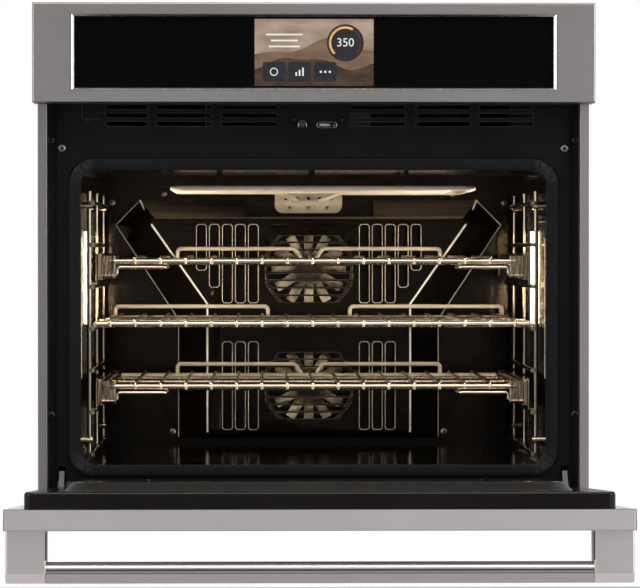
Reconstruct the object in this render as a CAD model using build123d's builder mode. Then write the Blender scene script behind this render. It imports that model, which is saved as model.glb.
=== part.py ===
"""Built-in electric wall oven with its door open, as an assembly of separate pieces.

Millimetres. X to the right, Y to the back, Z up. The origin is the middle of the base pan's underside.
"""
import os
from math import cos, radians, sin, sqrt

from build123d import *

# Overall
PANEL_W = 756.0
PANEL_H = 134.0
TOTAL_H = 707.0
CHASSIS_D = 584.0
SHEET = 1.2
FIT = 0.3
HALF_W = PANEL_W / 2
CHASSIS_W = PANEL_W - 56.0
CHASSIS_H = TOTAL_H - 17.0
FACE_Y = -CHASSIS_D / 2
REAR_Y = CHASSIS_D / 2
HALF_IN = CHASSIS_W / 2 - SHEET
ROOF_Z = CHASSIS_H - SHEET

# Control panel
PANEL_STAND = 60.7
PANEL_SKIN = 1.5
PANEL_ROUND = 2.0
PANEL_Z0 = TOTAL_H - PANEL_H
PANEL_FRONT = FACE_Y - PANEL_STAND
BEZEL_W = PANEL_W - 100.8
BEZEL_H = PANEL_H - 29.5
BEZEL_SLOPE_X = 6.0
BEZEL_SLOPE_Z = 4.5
BEZEL_DEPTH = 8.0
SIGHT_W = BEZEL_W - 2 * BEZEL_SLOPE_X
SIGHT_H = BEZEL_H - 2 * BEZEL_SLOPE_Z
BEZEL_Z = PANEL_Z0 + 67.5
GLASS_T = 4.0
GLASS_LIP = 1.2
GLASS_Y = PANEL_FRONT + BEZEL_DEPTH
SCREEN_W = 160.0
SCREEN_H = 90.0
SCREEN_GAP = 0.15
MODULE_RIM = 8.0
MODULE_D = 12.0
BOARD_W = 420.0
BOARD_H = 84.0
BOARD_T = 1.6

# Front frame and its mounting flange
FLANGE_T = 1.5
FLANGE_HALF = HALF_W - 5.0
HAT_HALF = HALF_W - 29.0
HAT_TOP = PANEL_Z0 + 17.0
FRAME_RAISE = 5.0
FRAME_Z0 = 60.0
FLANGE_Z0 = 40.0
FRAME_TOP = TOTAL_H - 3.0
HAT_FACE = FACE_Y - FRAME_RAISE
HAT_BACK = HAT_FACE + FLANGE_T
FLANGE_FACE = FACE_Y - FLANGE_T
MOUNT_X = FLANGE_HALF - 16.5
MOUNT_Z = (FRAME_Z0 + 90.0, PANEL_Z0 - 49.0)
MOUNT_R = 2.75

# Cavity
CAVITY_HALF = HALF_W - 61.5
CAVITY_Z = (83.0, PANEL_Z0 - 89.5)
CAVITY_R = 20.0
CAVITY_D = CHASSIS_D - 84.0
LINER_BACK = FACE_Y + CAVITY_D
CAVITY_W = 2 * CAVITY_HALF
CAVITY_H = CAVITY_Z[1] - CAVITY_Z[0]
CAVITY_MID = (CAVITY_Z[0] + CAVITY_Z[1]) / 2
LINER_HALF = CAVITY_HALF + SHEET
LINER_SIZE = (CAVITY_W + 2 * SHEET, CAVITY_H + 2 * SHEET)

# Gasket
GASKET_B = 15.5
GASKET_PROUD = 9.0
GASKET_ROUND = 6.5
GASKET_W = CAVITY_W + 2 * GASKET_B
GASKET_H = CAVITY_H + 2 * GASKET_B
GASKET_R = CAVITY_R + GASKET_B

# Vent panel with its slots, whose ends are measured from the panel's ends
VENT_T = 1.2
VENT_Z0 = CAVITY_Z[1] - 14.5
VENT_EDGE = 0.5
VENT_ARCH = 2.0
VENT_FACE = HAT_FACE - VENT_T
VENT_SLANT = 3.0
VENT_SLOT_H = 6.5
VENT_PITCH = 11.3
VENT_ROW_Z = PANEL_Z0 - 30.0
VENT_ROWS = 3
VENT_ENDS = ((301.0, 223.0), (212.0, 134.0), (125.0, 49.0))
LEFT_VENT_END = 66.0
VENT_DUCT_HALF = HAT_HALF - 39.0
VENT_DUCT_Z = (PANEL_Z0 - 33.0, HAT_TOP - 5.0)

# Side trims
TRIM_IN = FLANGE_HALF - 12.5
TRIM_STAND = 29.0
TRIM_WALL = 1.0
TRIM_TOP_GAP = 0.5

# Door, in its own frame: across, up from the hinge axis, out from the hinge axis
OPEN_ANGLE = 86.5
HINGE_BACK = 25.0
HINGE_Y = FACE_Y - HINGE_BACK
HINGE_Z = 44.0
DOOR_GAP = 4.0
DOOR_FOOT = -25.0
DOOR_TOP = PANEL_Z0 - DOOR_GAP - HINGE_Z
DOOR_FACE = PANEL_STAND - HINGE_BACK
SKIN_T = 25.4
SKIN_BACK = DOOR_FACE - SKIN_T
SKIN_ROUND = 2.5
SKIN_REAR_HALF = HALF_W - 53.0
SKIN_REAR_EDGE = 35.0
WINDOW_HALF = HALF_W - 128.0
WINDOW_V = (DOOR_FOOT + 175.0, DOOR_TOP - 125.0)
WINDOW_R = 12.0
WINDOW_LIP = 12.0
RIM_HALF = HALF_W - 23.5
RIM_T = 21.0
RIM_FACE = SKIN_BACK - RIM_T
RIM_FOOT = DOOR_FOOT + 4.0
RIM_TOP = DOOR_TOP - 12.0
RIM_R = 10.0
RIM_ROUND = 4.0
RIM_SHEET = 1.5
PLUG_HALF = CAVITY_HALF - 14.0
PLUG_V = (CAVITY_Z[0] + 15.0 - HINGE_Z, CAVITY_Z[1] - 15.5 - HINGE_Z)
PLUG_H = 11.0
PLUG_R = 25.0
PLUG_ROUND = 5.0
PLUG_FACE = RIM_FACE - PLUG_H
INNER_HALF = PLUG_HALF - 77.5
INNER_V = (PLUG_V[0] + 71.0, PLUG_V[1] - 69.0)
INNER_LIP = 14.0
PACK_HALF = HALF_W - 56.0
PACK_V = (HINGE_Z - 4.0, DOOR_TOP - 50.0)
DOOR_PLANE = Plane(
    origin=(0, HINGE_Y, HINGE_Z),
    x_dir=(1, 0, 0),
    z_dir=(0, -cos(radians(OPEN_ANGLE)), -sin(radians(OPEN_ANGLE))),
)
DOOR_OUT = Axis(DOOR_PLANE.origin, DOOR_PLANE.z_dir)

# Handle
CAP_X = (HALF_W - 50.4, HALF_W - 1.8)
CAP_DROP = 12.0
CAP_V = 34.0
HANDLE_STAND = 63.0
BAR_T = 25.5
HANDLE_BEVEL = 11.4
HANDLE_BEVEL_V = 7.0
BAR_ROUND = 11.0
CAP_ROUND = 2.0

# Hinges
HINGE_X = HALF_W - 36.0
ARM_T = 7.0
ARM_W = 13.0
EYE_R = 9.0
PIN_R = 4.0
PIN_PLAY = 0.05
PIN_OVER = 1.0
ARM_RISE = 24.0
ARM_FORE = 20.0
ARM_DEPTH = 60.0
ARM_BOSS = 40.0
ARM_SLOT = 10.0
CHEEK_T = 2.0
CHEEK_PLAY = 0.5
CHEEK_V = (DOOR_FOOT + 7.0, DOOR_FOOT + 145.0)
NOTCH_V = 32.0
NOTCH_PLAY = 0.7
NOTCH_ROUND = 1 / 3

# Convection cover, its slots and its fan grilles
SLOT_W = 15.0
SLOT_PITCH = 19.5
SLOT_X = 83.5
SLOT_CUT = 3.0
LOWER_SLOTS = 3
FAN_SHARES = (0.6582, 0.2197)
FAN_Z = [CAVITY_Z[0] + share * CAVITY_H for share in FAN_SHARES]
UPPER_SLOT_TOP = CAVITY_Z[1] - 69.9
UPPER_SLOT_FEET = (51.1, 51.1, 51.1, 27.6, 1.9)
LOWER_SLOT_Z = (CAVITY_Z[0] + 21.7, FAN_Z[1] + 66.0)
GRILLE_HALF = 66.0
GRILLE_ROWS = 4
GRILLE_PITCH = 11.4
GRILLE_OPEN = 9.2
GRILLE_STRAIGHT = 24.0
GRILLE_SLOPE = 0.8
NICHE_HALF = 98.0
COVER_RISE = 42.0
COVER_T = 2.0
COVER_ROUND = 7.0
COVER_FACE = LINER_BACK - COVER_RISE
COVER_FOOT = SLOT_X + LOWER_SLOTS * SLOT_PITCH + 12.0
COVER_BASE = (
    (CAVITY_HALF - 61.5, CAVITY_Z[1] - 33.5),
    (CAVITY_HALF - 24.5, CAVITY_Z[1] - 70.5),
    (COVER_FOOT + 43.0, FAN_Z[1] + 99.0),
    (COVER_FOOT + 43.0, CAVITY_Z[0] + 7.0),
)
COVER_TOP = (
    (CAVITY_HALF - 84.5, CAVITY_Z[1] - 60.5),
    (CAVITY_HALF - 77.5, CAVITY_Z[1] - 67.5),
    (COVER_FOOT, FAN_Z[1] + 124.0),
    (COVER_FOOT, CAVITY_Z[0] + 16.0),
)

# Convection fans, motors and ring elements
FAN_PLANES = [Plane(origin=(0, LINER_BACK, z), x_dir=(1, 0, 0), z_dir=(0, -1, 0)) for z in FAN_Z]
FAN_MID = 22.0
FAN_BLADES = 12
BLADE_L = 36.0
BLADE_W = 17.0
BLADE_T = 1.2
BLADE_TILT = 40.0
BLADE_R = 38.0
FAN_DISC_R = 24.0
FAN_DISC_T = 3.0
FAN_NUT_R = 9.0
FAN_NUT_L = 8.0
SHAFT_R = 4.0
SHAFT_PLAY = 0.06
SHAFT_L = 50.0
SHAFT_HOLE_R = 9.0
MOTOR_R = 38.0
MOTOR_L = 50.0
MOTOR_EAR = 52.0
MOTOR_EAR_T = 3.0
RING_R = 66.0
TUBE_R = 3.5
RING_GAP = 20.0
LEAD_BEND = 8.0

# Broil and bake elements
BROIL_Z = CAVITY_Z[1] - 22.5
BROIL_HALF = CAVITY_HALF - 121.5
BROIL_PASSES = 6
BROIL_Y = FACE_Y + 100.0
BROIL_PITCH = (CAVITY_D - 220.0) / (BROIL_PASSES - 1)
BROIL_BEND = 20.0
BROIL_LEAD_X = 18.0
BROIL_LEAD_Z = BROIL_Z - 12.0
BROIL_LEAD_Y = LINER_BACK - 50.0
BROIL_RETURN = 30.0
TERMINAL_HALF = 51.0
TERMINAL_Z = (BROIL_Z - 30.0, BROIL_Z - 1.0)
TERMINAL_R = 12.0
TERMINAL_T = 2.0
TERMINAL_HOLE_R = 2.5
TERMINAL_HOLE_PITCH = 17.0
TERMINAL_HOLES = 5
TERMINAL_HOLE_DROP = 7.0
TERMINAL_RIVET_X = 28.0
TERMINAL_RIVET_RISE = 8.0
HANGER_X = 130.0
HANGER_W = 6.0
HANGER_T = 1.5
BAKE_HALF = CAVITY_HALF - 96.5
BAKE_PASSES = 5
BAKE_Y = FACE_Y + 90.0
BAKE_PITCH = (CAVITY_D - 204.0) / (BAKE_PASSES - 1)
BAKE_BEND = 30.0
BAKE_POCKET = 2.0

# Insulation
BAY_Z = PANEL_Z0 - 53.0
WRAP_Z = (46.0, BAY_Z - 2.0)
WRAP_BACK = 30.0
WRAP_SKIN = 0.6
WRAP_Y = FACE_Y + 2.0
MOTOR_HOLE = 6.0

# Rack supports
UPRIGHT_X = CAVITY_HALF - 8.0
UPRIGHT_R = 3.2
UPRIGHT_Z = (CAVITY_Z[0] + 9.0, CAVITY_Z[1] - 27.5)
UPRIGHT_Y = (FACE_Y + 60.0, (FACE_Y + LINER_BACK) / 2, LINER_BACK - 60.0)
RUNNER_X = CAVITY_HALF - 13.5
RUNNER_R = 3.0
RUNNER_Y = (FACE_Y + 48.0, LINER_BACK - 48.0)
RUNNERS = 7
FOOT_R = 5.0
FOOT_INSET = 20.0

# Racks
RACK_PITCH = (CAVITY_H - 54.5) / 4
MIDDLE_Z = CAVITY_MID - 10.75
RACK_FRONT = FACE_Y + 62.0
RACK_REAR = LINER_BACK - 54.0
RAIL_R = 4.5
SIDE_R = 3.0
WIRE_R = 2.3
WIRE_PITCH = 35.0
WIRE_SINK = 1.0
WIRE_HOOK = 9.0
WIRE_BEND = 5.0
CROSS_BARS = 2
CROSS_PITCH = (RACK_REAR - RACK_FRONT) / (CROSS_BARS + 1)
STOP_H = 18.0
STOP_BEND = 6.0
PLAIN_SIDE_X = CAVITY_HALF - 16.0
PLAIN_WIRES = 17
PLAIN_STOP = ((PLAIN_SIDE_X - 10.5, PLAIN_SIDE_X - 10.5), (61.5, 61.5))
RUN_SIDE_X = CAVITY_HALF - 34.0
RUN_WIRES = 15
RUN_STOP = ((RUN_SIDE_X - 85.5, RUN_SIDE_X - 85.5), (21.0, 8.5))
RUNNER_PITCH = RACK_PITCH * 2 / 3
RUNNER_DROP = 5.8
RAIL_FLOOR = 25.0
RAIL_HEAD = 11.0
SLIDE_T = 1.5
SLIDE_X = (CAVITY_HALF - 27.0, CAVITY_HALF - 17.5)
SLIDE_TAB = CAVITY_HALF - 11.5
SLIDE_Y = (FACE_Y + 60.0, LINER_BACK - 50.0)
SLIDE_PLAY = 0.4
RUN_BAR_X = (SLIDE_X[0] - 4.5, SLIDE_X[0] + 1.3)
CARRIER_X = (RUN_BAR_X[1] + SLIDE_PLAY, SLIDE_X[1] - SLIDE_T - SLIDE_PLAY)
BRACKET_X = RUN_BAR_X[0] - 13.0
BRACKET_T = 2.0
RIVET_R = 3.0
RIVET_H = 1.2
RIVET_Z = (-6.0, -18.0)
BASE_WIRE_R = 2.5
BASE_WIRE_X = (BRACKET_X - 2.0, BRACKET_X - 70.0)
BASE_WIRE_DROP = 8.0
BASE_WIRE_BACK = 60.0

# Lamps and probe jack
LAMP_Y = (FACE_Y + 150.0, FACE_Y + 214.0)
LAMP_Z = (CAVITY_Z[1] - 207.5, CAVITY_Z[1] - 87.5)
LAMP_D = 26.0
LENS_T = 5.0
LENS_LIP = 5.0
LENS_ROUND = 2.0
BULB_R = 6.0
BULB_L = 70.0
PROBE_Y = FACE_Y + 90.0
PROBE_Z = CAVITY_Z[1] - 62.5
PROBE_R = 8.0
PROBE_HOLE_R = 4.0
PROBE_L = 5.0

# Electronics bay
BAY_Y = FACE_Y + 12.0
BLOWER_X = (-150.0, 150.0)
BLOWER_Y = (FACE_Y + 160.0, FACE_Y + 280.0)
BLOWER_H = 100.0
WHEEL_R = 38.0
WHEEL_INSET = 8.0
WHEEL_DISC = 2.0
WHEEL_VANES = 18
VANE_R = 2.0
BLOWER_MOTOR_R = 32.0
BLOWER_MOTOR_L = 60.0
BLOWER_HOLE_R = 6.0

# Latch and door switch
LATCH_X = 30.0
LATCH_Y = FACE_Y + 8.0
LATCH_Z = PANEL_Z0 - 28.0
LATCH_T = 3.6
LATCH_EYE = 6.0
LATCH_POST_R = 3.0
LATCH_ARM_W = 7.0
LATCH_TIP = (6.0, FACE_Y - 5.0)
LATCH_SHOULDER = 5.5
LATCH_SLOT = (4.5, 31.6)
LATCH_SLOT_H = 8.0
LATCH_PLATE_X = (-42.0, 80.0)
LATCH_PLATE_Z = (LATCH_Z - 12.0, LATCH_Z - 10.0)
LATCH_PLATE_D = 64.0
LATCH_MOTOR_X = (40.0, 78.0)
LATCH_MOTOR_Y = (FACE_Y + 18.0, FACE_Y + 58.0)
LATCH_MOTOR_TOP = LATCH_Z + 17.0
LATCH_DOOR_SLOT_H = 11.0
LATCH_DOOR_SLOT_X = (-2.0, 36.0)
PLUNGER_X = -15.0
PLUNGER_Z = LATCH_Z + 0.5
PLUNGER_R = 4.0
PLUNGER_PLAY = 0.06
PLUNGER_PUSH = 0.4
PLUNGER_TIP = HINGE_Y - RIM_FACE + PLUNGER_PUSH
PLUNGER_COLLAR_R = 6.0
PLUNGER_COLLAR_T = 2.0
PLUNGER_COLLAR_Y = FACE_Y - 2.0
PLUNGER_TAIL = FACE_Y + 22.0
GUIDE_HALF = 9.0
GUIDE_Y = (FACE_Y + 8.0, FACE_Y + 18.0)
GUIDE_TOP = PLUNGER_Z + 9.5
ARCH_HALF = 7.0
ARCH_Z0 = PLUNGER_Z - 5.0

# Base pan, rear panel and cable gland
UPSTAND_Y = FACE_Y + 6.0
UPSTAND_TOP = 62.0
LOUVRE_W = 90.0
LOUVRE_H = 5.0
LOUVRE_PITCH_X = 130.0
LOUVRE_PITCH_Z = 16.0
LOUVRE_COLS = 4
LOUVRE_ROWS = 5
LOUVRE_Z = CHASSIS_H - 48.0
GLAND_X = 90.0 - CHASSIS_W / 2
GLAND_Z = CHASSIS_H - 130.0
GLAND_R = 14.0
GLAND_BORE = 9.0
GLAND_FLANGE_R = 19.0
GLAND_FLANGE_T = 4.0
GLAND_OUT = 14.0

# Screws: half of each pair's distance, and its height
HEAD_R = 5.5
HEAD_H = 2.4
HEAD_SMALL_R = 2.6
HEAD_SMALL_H = 1.4
SLOT_SHARE = 0.25
VENT_SCREWS = ((HAT_HALF - 7.5, PANEL_Z0 - 60.0),)
SMALL_SCREWS = ((-26.0, PANEL_Z0 - 21.0), (38.0, PANEL_Z0 - 21.0), (43.0 - HAT_HALF, PANEL_Z0 - 21.0))
WALL_SCREWS = (
    (CAVITY_HALF - 18.5, CAVITY_Z[1] - 36.5),
    (CAVITY_HALF - 97.5, CAVITY_Z[1] - 22.5),
    (COVER_FOOT + 52.0, CAVITY_Z[0] + 16.0),
)


def mid(pair):
    """Middle of a pair of limits."""
    return (pair[0] + pair[1]) / 2


def span(pair):
    """Distance between a pair of limits."""
    return pair[1] - pair[0]


def sided(side, pair):
    """Limits across, on the left (-1) or on the right (1)."""
    return tuple(sorted((side * pair[0], side * pair[1])))


def front(y):
    """Plane facing the viewer at a depth: across is X, up is Z."""
    return Plane.XZ.offset(-y)


def block(x, y, z, mode=Mode.ADD):
    """Box between two limits on each axis."""
    with Locations((mid(x), mid(y), mid(z))):
        Box(span(x), span(y), span(z), mode=mode)


def rod(start, end, radius, mode=Mode.ADD):
    """Round bar between two points."""
    run = Vector(*end) - Vector(*start)
    with Locations(Plane(origin=start, z_dir=run)):
        Cylinder(radius, run.length, align=(Align.CENTER, Align.CENTER, Align.MIN), mode=mode)


def wire(points, radius, bend):
    """Round wire along a line with rounded bends."""
    with BuildLine() as path:
        FilletPolyline(*points, radius=bend)
    with BuildSketch(Plane(origin=path.line @ 0, z_dir=path.line % 0)) as section:
        Circle(radius)
    sweep(section.sketch, path=path.line)


def slab(plane, centre, size, radius, depth, mode=Mode.ADD):
    """Plate with rounded corners on a plane."""
    with BuildSketch(plane) as outline:
        with Locations(centre):
            RectangleRounded(size[0], size[1], radius)
    extrude(outline.sketch, amount=depth, mode=mode)


def save(piece, name):
    """Name a piece and write it."""
    piece.part.label = name
    export_step(piece.part, f"parts/{name}.step")


def make_side_panel(side, name):
    """Outer side sheet of the chassis."""
    with BuildPart() as panel:
        block(sided(side, (HALF_IN, HALF_IN + SHEET)), (FACE_Y, REAR_Y), (SHEET, ROOF_Z))
    save(panel, name)


def make_side_trim(side, name):
    """Folded strip beside the door."""
    with BuildPart() as trim:
        x = (TRIM_IN, FLANGE_HALF)
        z = (FLANGE_Z0, PANEL_Z0 - TRIM_TOP_GAP)
        hollow = (TRIM_IN + TRIM_WALL, FLANGE_HALF - TRIM_WALL)
        block(sided(side, x), (FACE_Y - TRIM_STAND, FLANGE_FACE), z)
        block(sided(side, hollow), (FACE_Y - TRIM_STAND + TRIM_WALL, FLANGE_FACE), z, Mode.SUBTRACT)
    save(trim, name)


def make_hinge_arm(side, name):
    """Arm fixed in the chassis that carries the door's pivot pin."""
    x0 = side * HINGE_X - ARM_T / 2
    with BuildPart() as arm:
        with BuildSketch(Plane.YZ.offset(x0)) as outline:
            with BuildLine():
                Polyline(
                    (HINGE_Y, HINGE_Z),
                    (HINGE_Y + ARM_FORE, HINGE_Z + ARM_RISE),
                    (FACE_Y + ARM_DEPTH, HINGE_Z + ARM_RISE),
                )
            trace(line_width=ARM_W)
            with Locations((HINGE_Y, HINGE_Z)):
                Circle(EYE_R)
                Circle(PIN_R + PIN_PLAY, mode=Mode.SUBTRACT)
        extrude(outline.sketch, amount=ARM_T)
        boss = (HINGE_X + ARM_T / 2, HALF_IN)
        low = HINGE_Z + ARM_RISE - ARM_W / 2
        block(sided(side, boss), (FACE_Y + ARM_DEPTH - ARM_BOSS, FACE_Y + ARM_DEPTH), (low, low + ARM_W))
    save(arm, name)


def make_door_hinge(side, name):
    """Pair of cheeks in the door on both sides of the hinge arm."""
    inner = HINGE_X - ARM_T / 2 - CHEEK_PLAY - CHEEK_T
    outer = HINGE_X + ARM_T / 2 + CHEEK_PLAY
    w = (RIM_FACE + RIM_SHEET + FIT, SKIN_BACK)
    with BuildPart(DOOR_PLANE) as hinge:
        for x in (inner, outer):
            block(sided(side, (x, x + CHEEK_T)), CHEEK_V, w)
        with Locations((side * HINGE_X, 0, 0)):
            Cylinder(PIN_R, ARM_T * 2, rotation=(0, 90, 0), mode=Mode.SUBTRACT)
        bridge = (NOTCH_V + CHEEK_T, CHEEK_V[1])
        block(sided(side, (inner, outer + CHEEK_T)), bridge, (SKIN_BACK - CHEEK_T, SKIN_BACK))
    save(hinge, name)


def handle_plane(x):
    """Plane across the door's handle at a place along it: up the door, out from the hinge axis."""
    return Plane(
        origin=DOOR_PLANE.from_local_coords((x, 0, 0)),
        x_dir=DOOR_PLANE.y_dir,
        z_dir=DOOR_PLANE.x_dir,
    )


def handle_profile(plane, foot, rounding):
    """Section of the handle, bevelled on its outer side."""
    top = DOOR_TOP - CAP_DROP
    low = top - CAP_V
    end = DOOR_FACE + HANDLE_STAND
    with BuildSketch(plane) as profile:
        Polygon(
            (low, foot),
            (top, foot),
            (top, end - HANDLE_BEVEL),
            (top - HANDLE_BEVEL_V, end),
            (low + HANDLE_BEVEL_V, end),
            (low, end - HANDLE_BEVEL),
            align=None,
        )
        if rounding:
            fillet(profile.vertices().sort_by(Axis.Y)[:2], rounding)
    return profile.sketch


def make_handle_cap(side, name):
    """End block that stands the handle off the door."""
    x = sided(side, CAP_X)
    with BuildPart() as cap:
        extrude(handle_profile(handle_plane(x[0]), DOOR_FACE, 0), amount=span(x))
        ends = cap.faces().filter_by(Plane.YZ)
        fillet(ends.edges(), CAP_ROUND)
    save(cap, name)


def make_rack_support(side, name):
    """Wire ladder on a side wall of the cavity."""
    with BuildPart() as ladder:
        for y in UPRIGHT_Y:
            rod((side * UPRIGHT_X, y, UPRIGHT_Z[0]), (side * UPRIGHT_X, y, UPRIGHT_Z[1]), UPRIGHT_R)
        for step in range(RUNNERS):
            z = MIDDLE_Z - RUNNER_DROP + (step - RUNNERS // 2) * RUNNER_PITCH
            rod((side * RUNNER_X, RUNNER_Y[0], z), (side * RUNNER_X, RUNNER_Y[1], z), RUNNER_R)
        for y in (UPRIGHT_Y[0], UPRIGHT_Y[-1]):
            for z in (UPRIGHT_Z[0] + FOOT_INSET, UPRIGHT_Z[1] - FOOT_INSET):
                rod((side * (UPRIGHT_X - FOOT_R), y, z), (side * CAVITY_HALF, y, z), FOOT_R)
    save(ladder, name)


def rack_grid(rack_z, side_x, count, stop):
    """Wire grid of a rack: frame, front-to-back wires hooked over the front rail, and the rear stops."""
    top = rack_z + RAIL_R + WIRE_R - WIRE_SINK
    nose = RACK_FRONT - RAIL_R - WIRE_R + WIRE_SINK
    reach = side_x - SIDE_R / 2
    rod((-reach, RACK_FRONT, rack_z), (reach, RACK_FRONT, rack_z), RAIL_R)
    rod((-reach, RACK_REAR, rack_z), (reach, RACK_REAR, rack_z), RAIL_R)
    for bar in range(1, CROSS_BARS + 1):
        y = RACK_FRONT + bar * CROSS_PITCH
        rod((-side_x, y, rack_z + RAIL_R - SIDE_R), (side_x, y, rack_z + RAIL_R - SIDE_R), SIDE_R)
    for side in (-1, 1):
        rod((side * side_x, RACK_FRONT, rack_z), (side * side_x, RACK_REAR, rack_z), SIDE_R)
        (outer_top, outer_foot), (inner_top, inner_foot) = stop
        wire(
            (
                (side * outer_foot, RACK_REAR, rack_z),
                (side * outer_top, RACK_REAR, rack_z + STOP_H),
                (side * inner_top, RACK_REAR, rack_z + STOP_H),
                (side * inner_foot, RACK_REAR, rack_z),
            ),
            SIDE_R,
            STOP_BEND,
        )
    with BuildPart(mode=Mode.PRIVATE) as hook:
        wire(((0, RACK_REAR, top), (0, nose, top), (0, nose, top - WIRE_HOOK)), WIRE_R, WIRE_BEND)
    with GridLocations(WIRE_PITCH, 0, count, 1):
        add(hook.part)


def make_running_rack(rack_z, name):
    """Rack on telescopic slides, with its inner slide bars and front brackets."""
    bar_z = (rack_z - RAIL_FLOOR + 2 * SLIDE_T, rack_z + RAIL_HEAD - 2 * SLIDE_T)
    plate_y = (SLIDE_Y[0] - BRACKET_T, SLIDE_Y[0])
    wire_y = plate_y[0] - BASE_WIRE_R + FIT
    low = bar_z[0] + BASE_WIRE_R
    rise = rack_z - BASE_WIRE_DROP
    with BuildPart() as rack:
        rack_grid(rack_z, RUN_SIDE_X, RUN_WIRES, RUN_STOP)
        for side in (-1, 1):
            block(sided(side, RUN_BAR_X), SLIDE_Y, bar_z)
            block(sided(side, (BRACKET_X, RUN_BAR_X[1])), plate_y, bar_z)
            for z in RIVET_Z:
                x = side * (BRACKET_X + RUN_BAR_X[0]) / 2
                rod((x, plate_y[1], rack_z + z), (x, plate_y[0] - RIVET_H, rack_z + z), RIVET_R)
            wire(
                (
                    (side * RUN_BAR_X[1], wire_y, low),
                    (side * BASE_WIRE_X[0], wire_y, low),
                    (side * BASE_WIRE_X[0], wire_y, rise),
                    (side * BASE_WIRE_X[1], wire_y, rise),
                    (side * BASE_WIRE_X[1], wire_y + BASE_WIRE_BACK, rise),
                ),
                BASE_WIRE_R,
                BASE_WIRE_R * 2,
            )
    save(rack, name)


def make_slide_rails(rack_z, name):
    """Fixed outer channels of a rack's slides, hung on the ladder's runners."""
    z = (rack_z - RAIL_FLOOR, rack_z + RAIL_HEAD)
    tab_z = rack_z - RACK_PITCH + RUNNER_PITCH - RUNNER_DROP + RUNNER_R + FIT
    if rack_z < MIDDLE_Z:
        tab_z = rack_z + RACK_PITCH - 2 * RUNNER_PITCH - RUNNER_DROP + RUNNER_R + FIT
    web = (SLIDE_X[1] - SLIDE_T, SLIDE_X[1])
    with BuildPart() as rails:
        for side in (-1, 1):
            block(sided(side, web), SLIDE_Y, (tab_z, z[1]))
            block(sided(side, SLIDE_X), SLIDE_Y, (z[0], z[0] + SLIDE_T))
            block(sided(side, SLIDE_X), SLIDE_Y, (z[1] - SLIDE_T, z[1]))
            block(sided(side, (web[0], SLIDE_TAB)), SLIDE_Y, (tab_z, tab_z + SLIDE_T))
    save(rails, name)


def make_slide_carriers(rack_z, name):
    """Middle members of a rack's slides."""
    z = (rack_z - RAIL_FLOOR + SLIDE_T + SLIDE_PLAY, rack_z + RAIL_HEAD - SLIDE_T - SLIDE_PLAY)
    with BuildPart() as carriers:
        for side in (-1, 1):
            block(sided(side, CARRIER_X), SLIDE_Y, z)
    save(carriers, name)


def cover_outline(y, points):
    """Outline of the convection cover at a depth, the same on both sides."""
    left = [(-x, z) for x, z in points]
    with BuildSketch(front(y)) as outline:
        Polygon(*points, *reversed(left), align=None)
    return outline.sketch


def cover_body(shift, mode):
    """Raised form of the convection cover, moved back by a wall thickness for its hollow."""
    rings = [cover_outline(LINER_BACK + shift, COVER_BASE), cover_outline(COVER_FACE + shift, COVER_TOP)]
    loft(rings, ruled=True, mode=mode)


def cut_slot(x, low, high):
    """Upright slot with cut corners in the sketch."""
    half = SLOT_W / 2
    Polygon(
        (x - half, low + SLOT_CUT),
        (x - half + SLOT_CUT, low),
        (x + half - SLOT_CUT, low),
        (x + half, low + SLOT_CUT),
        (x + half, high - SLOT_CUT),
        (x + half - SLOT_CUT, high),
        (x - half + SLOT_CUT, high),
        (x - half, high - SLOT_CUT),
        align=None,
    )


def grille_half(rise):
    """Half width of the eight-sided grille at a height from its middle."""
    return GRILLE_HALF - max(0, abs(rise) - GRILLE_STRAIGHT) * GRILLE_SLOPE


def cut_grille_row(middle, rise):
    """One opening of the grille between two slats, in the sketch."""
    low = rise - GRILLE_OPEN / 2
    high = rise + GRILLE_OPEN / 2
    Polygon(
        (-grille_half(low), middle + low),
        (grille_half(low), middle + low),
        (grille_half(high), middle + high),
        (-grille_half(high), middle + high),
        align=None,
    )


def make_fan(plane, name):
    """Convection fan wheel with its nut and shaft."""
    with BuildPart(plane) as fan:
        with Locations((0, 0, FAN_MID)):
            Cylinder(FAN_DISC_R, FAN_DISC_T)
            with PolarLocations(BLADE_R, FAN_BLADES):
                Box(BLADE_L, BLADE_W, BLADE_T, rotation=(BLADE_TILT, 0, 0))
        with BuildSketch(plane.offset(FAN_MID)) as nut:
            RegularPolygon(FAN_NUT_R, side_count=6)
        extrude(nut.sketch, amount=FAN_NUT_L)
        with Locations((0, 0, FAN_MID)):
            Cylinder(SHAFT_R, SHAFT_L, align=(Align.CENTER, Align.CENTER, Align.MAX))
    save(fan, name)


def ring_element(plane):
    """Tube that comes through the back wall, runs round a fan and goes out beside where it came in."""
    low = -sqrt(RING_R**2 - RING_GAP**2)
    away = Vector(low, RING_GAP) / RING_R
    lead = Vector(-RING_GAP, low) - away * LEAD_BEND
    near = [(lead.X, lead.Y, 0), (lead.X, lead.Y, FAN_MID - LEAD_BEND), (-RING_GAP, low, FAN_MID)]
    far = [(-x, y, z) for x, y, z in reversed(near)]
    points = [plane.from_local_coords(point) for point in near + far]
    with BuildLine() as path:
        Line(points[0], points[1])
        TangentArc(points[1], points[2], tangent=plane.z_dir)
        TangentArc(points[2], points[3], tangent=plane.x_dir * away.X + plane.y_dir * away.Y)
        TangentArc(points[3], points[4], tangent=plane.x_dir * away.X - plane.y_dir * away.Y)
        Line(points[4], points[5])
    with BuildSketch(Plane(origin=points[0], z_dir=plane.z_dir)) as section:
        Circle(TUBE_R)
    sweep(section.sketch, path=path.line)


def serpentine(half, first_y, pitch, passes):
    """Points of a flat winding run of passes, front to back."""
    points = []
    for step in range(passes):
        y = first_y + step * pitch
        ends = (half, -half) if step % 2 == 0 else (-half, half)
        points += [(ends[0], y), (ends[1], y)]
    return points


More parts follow.
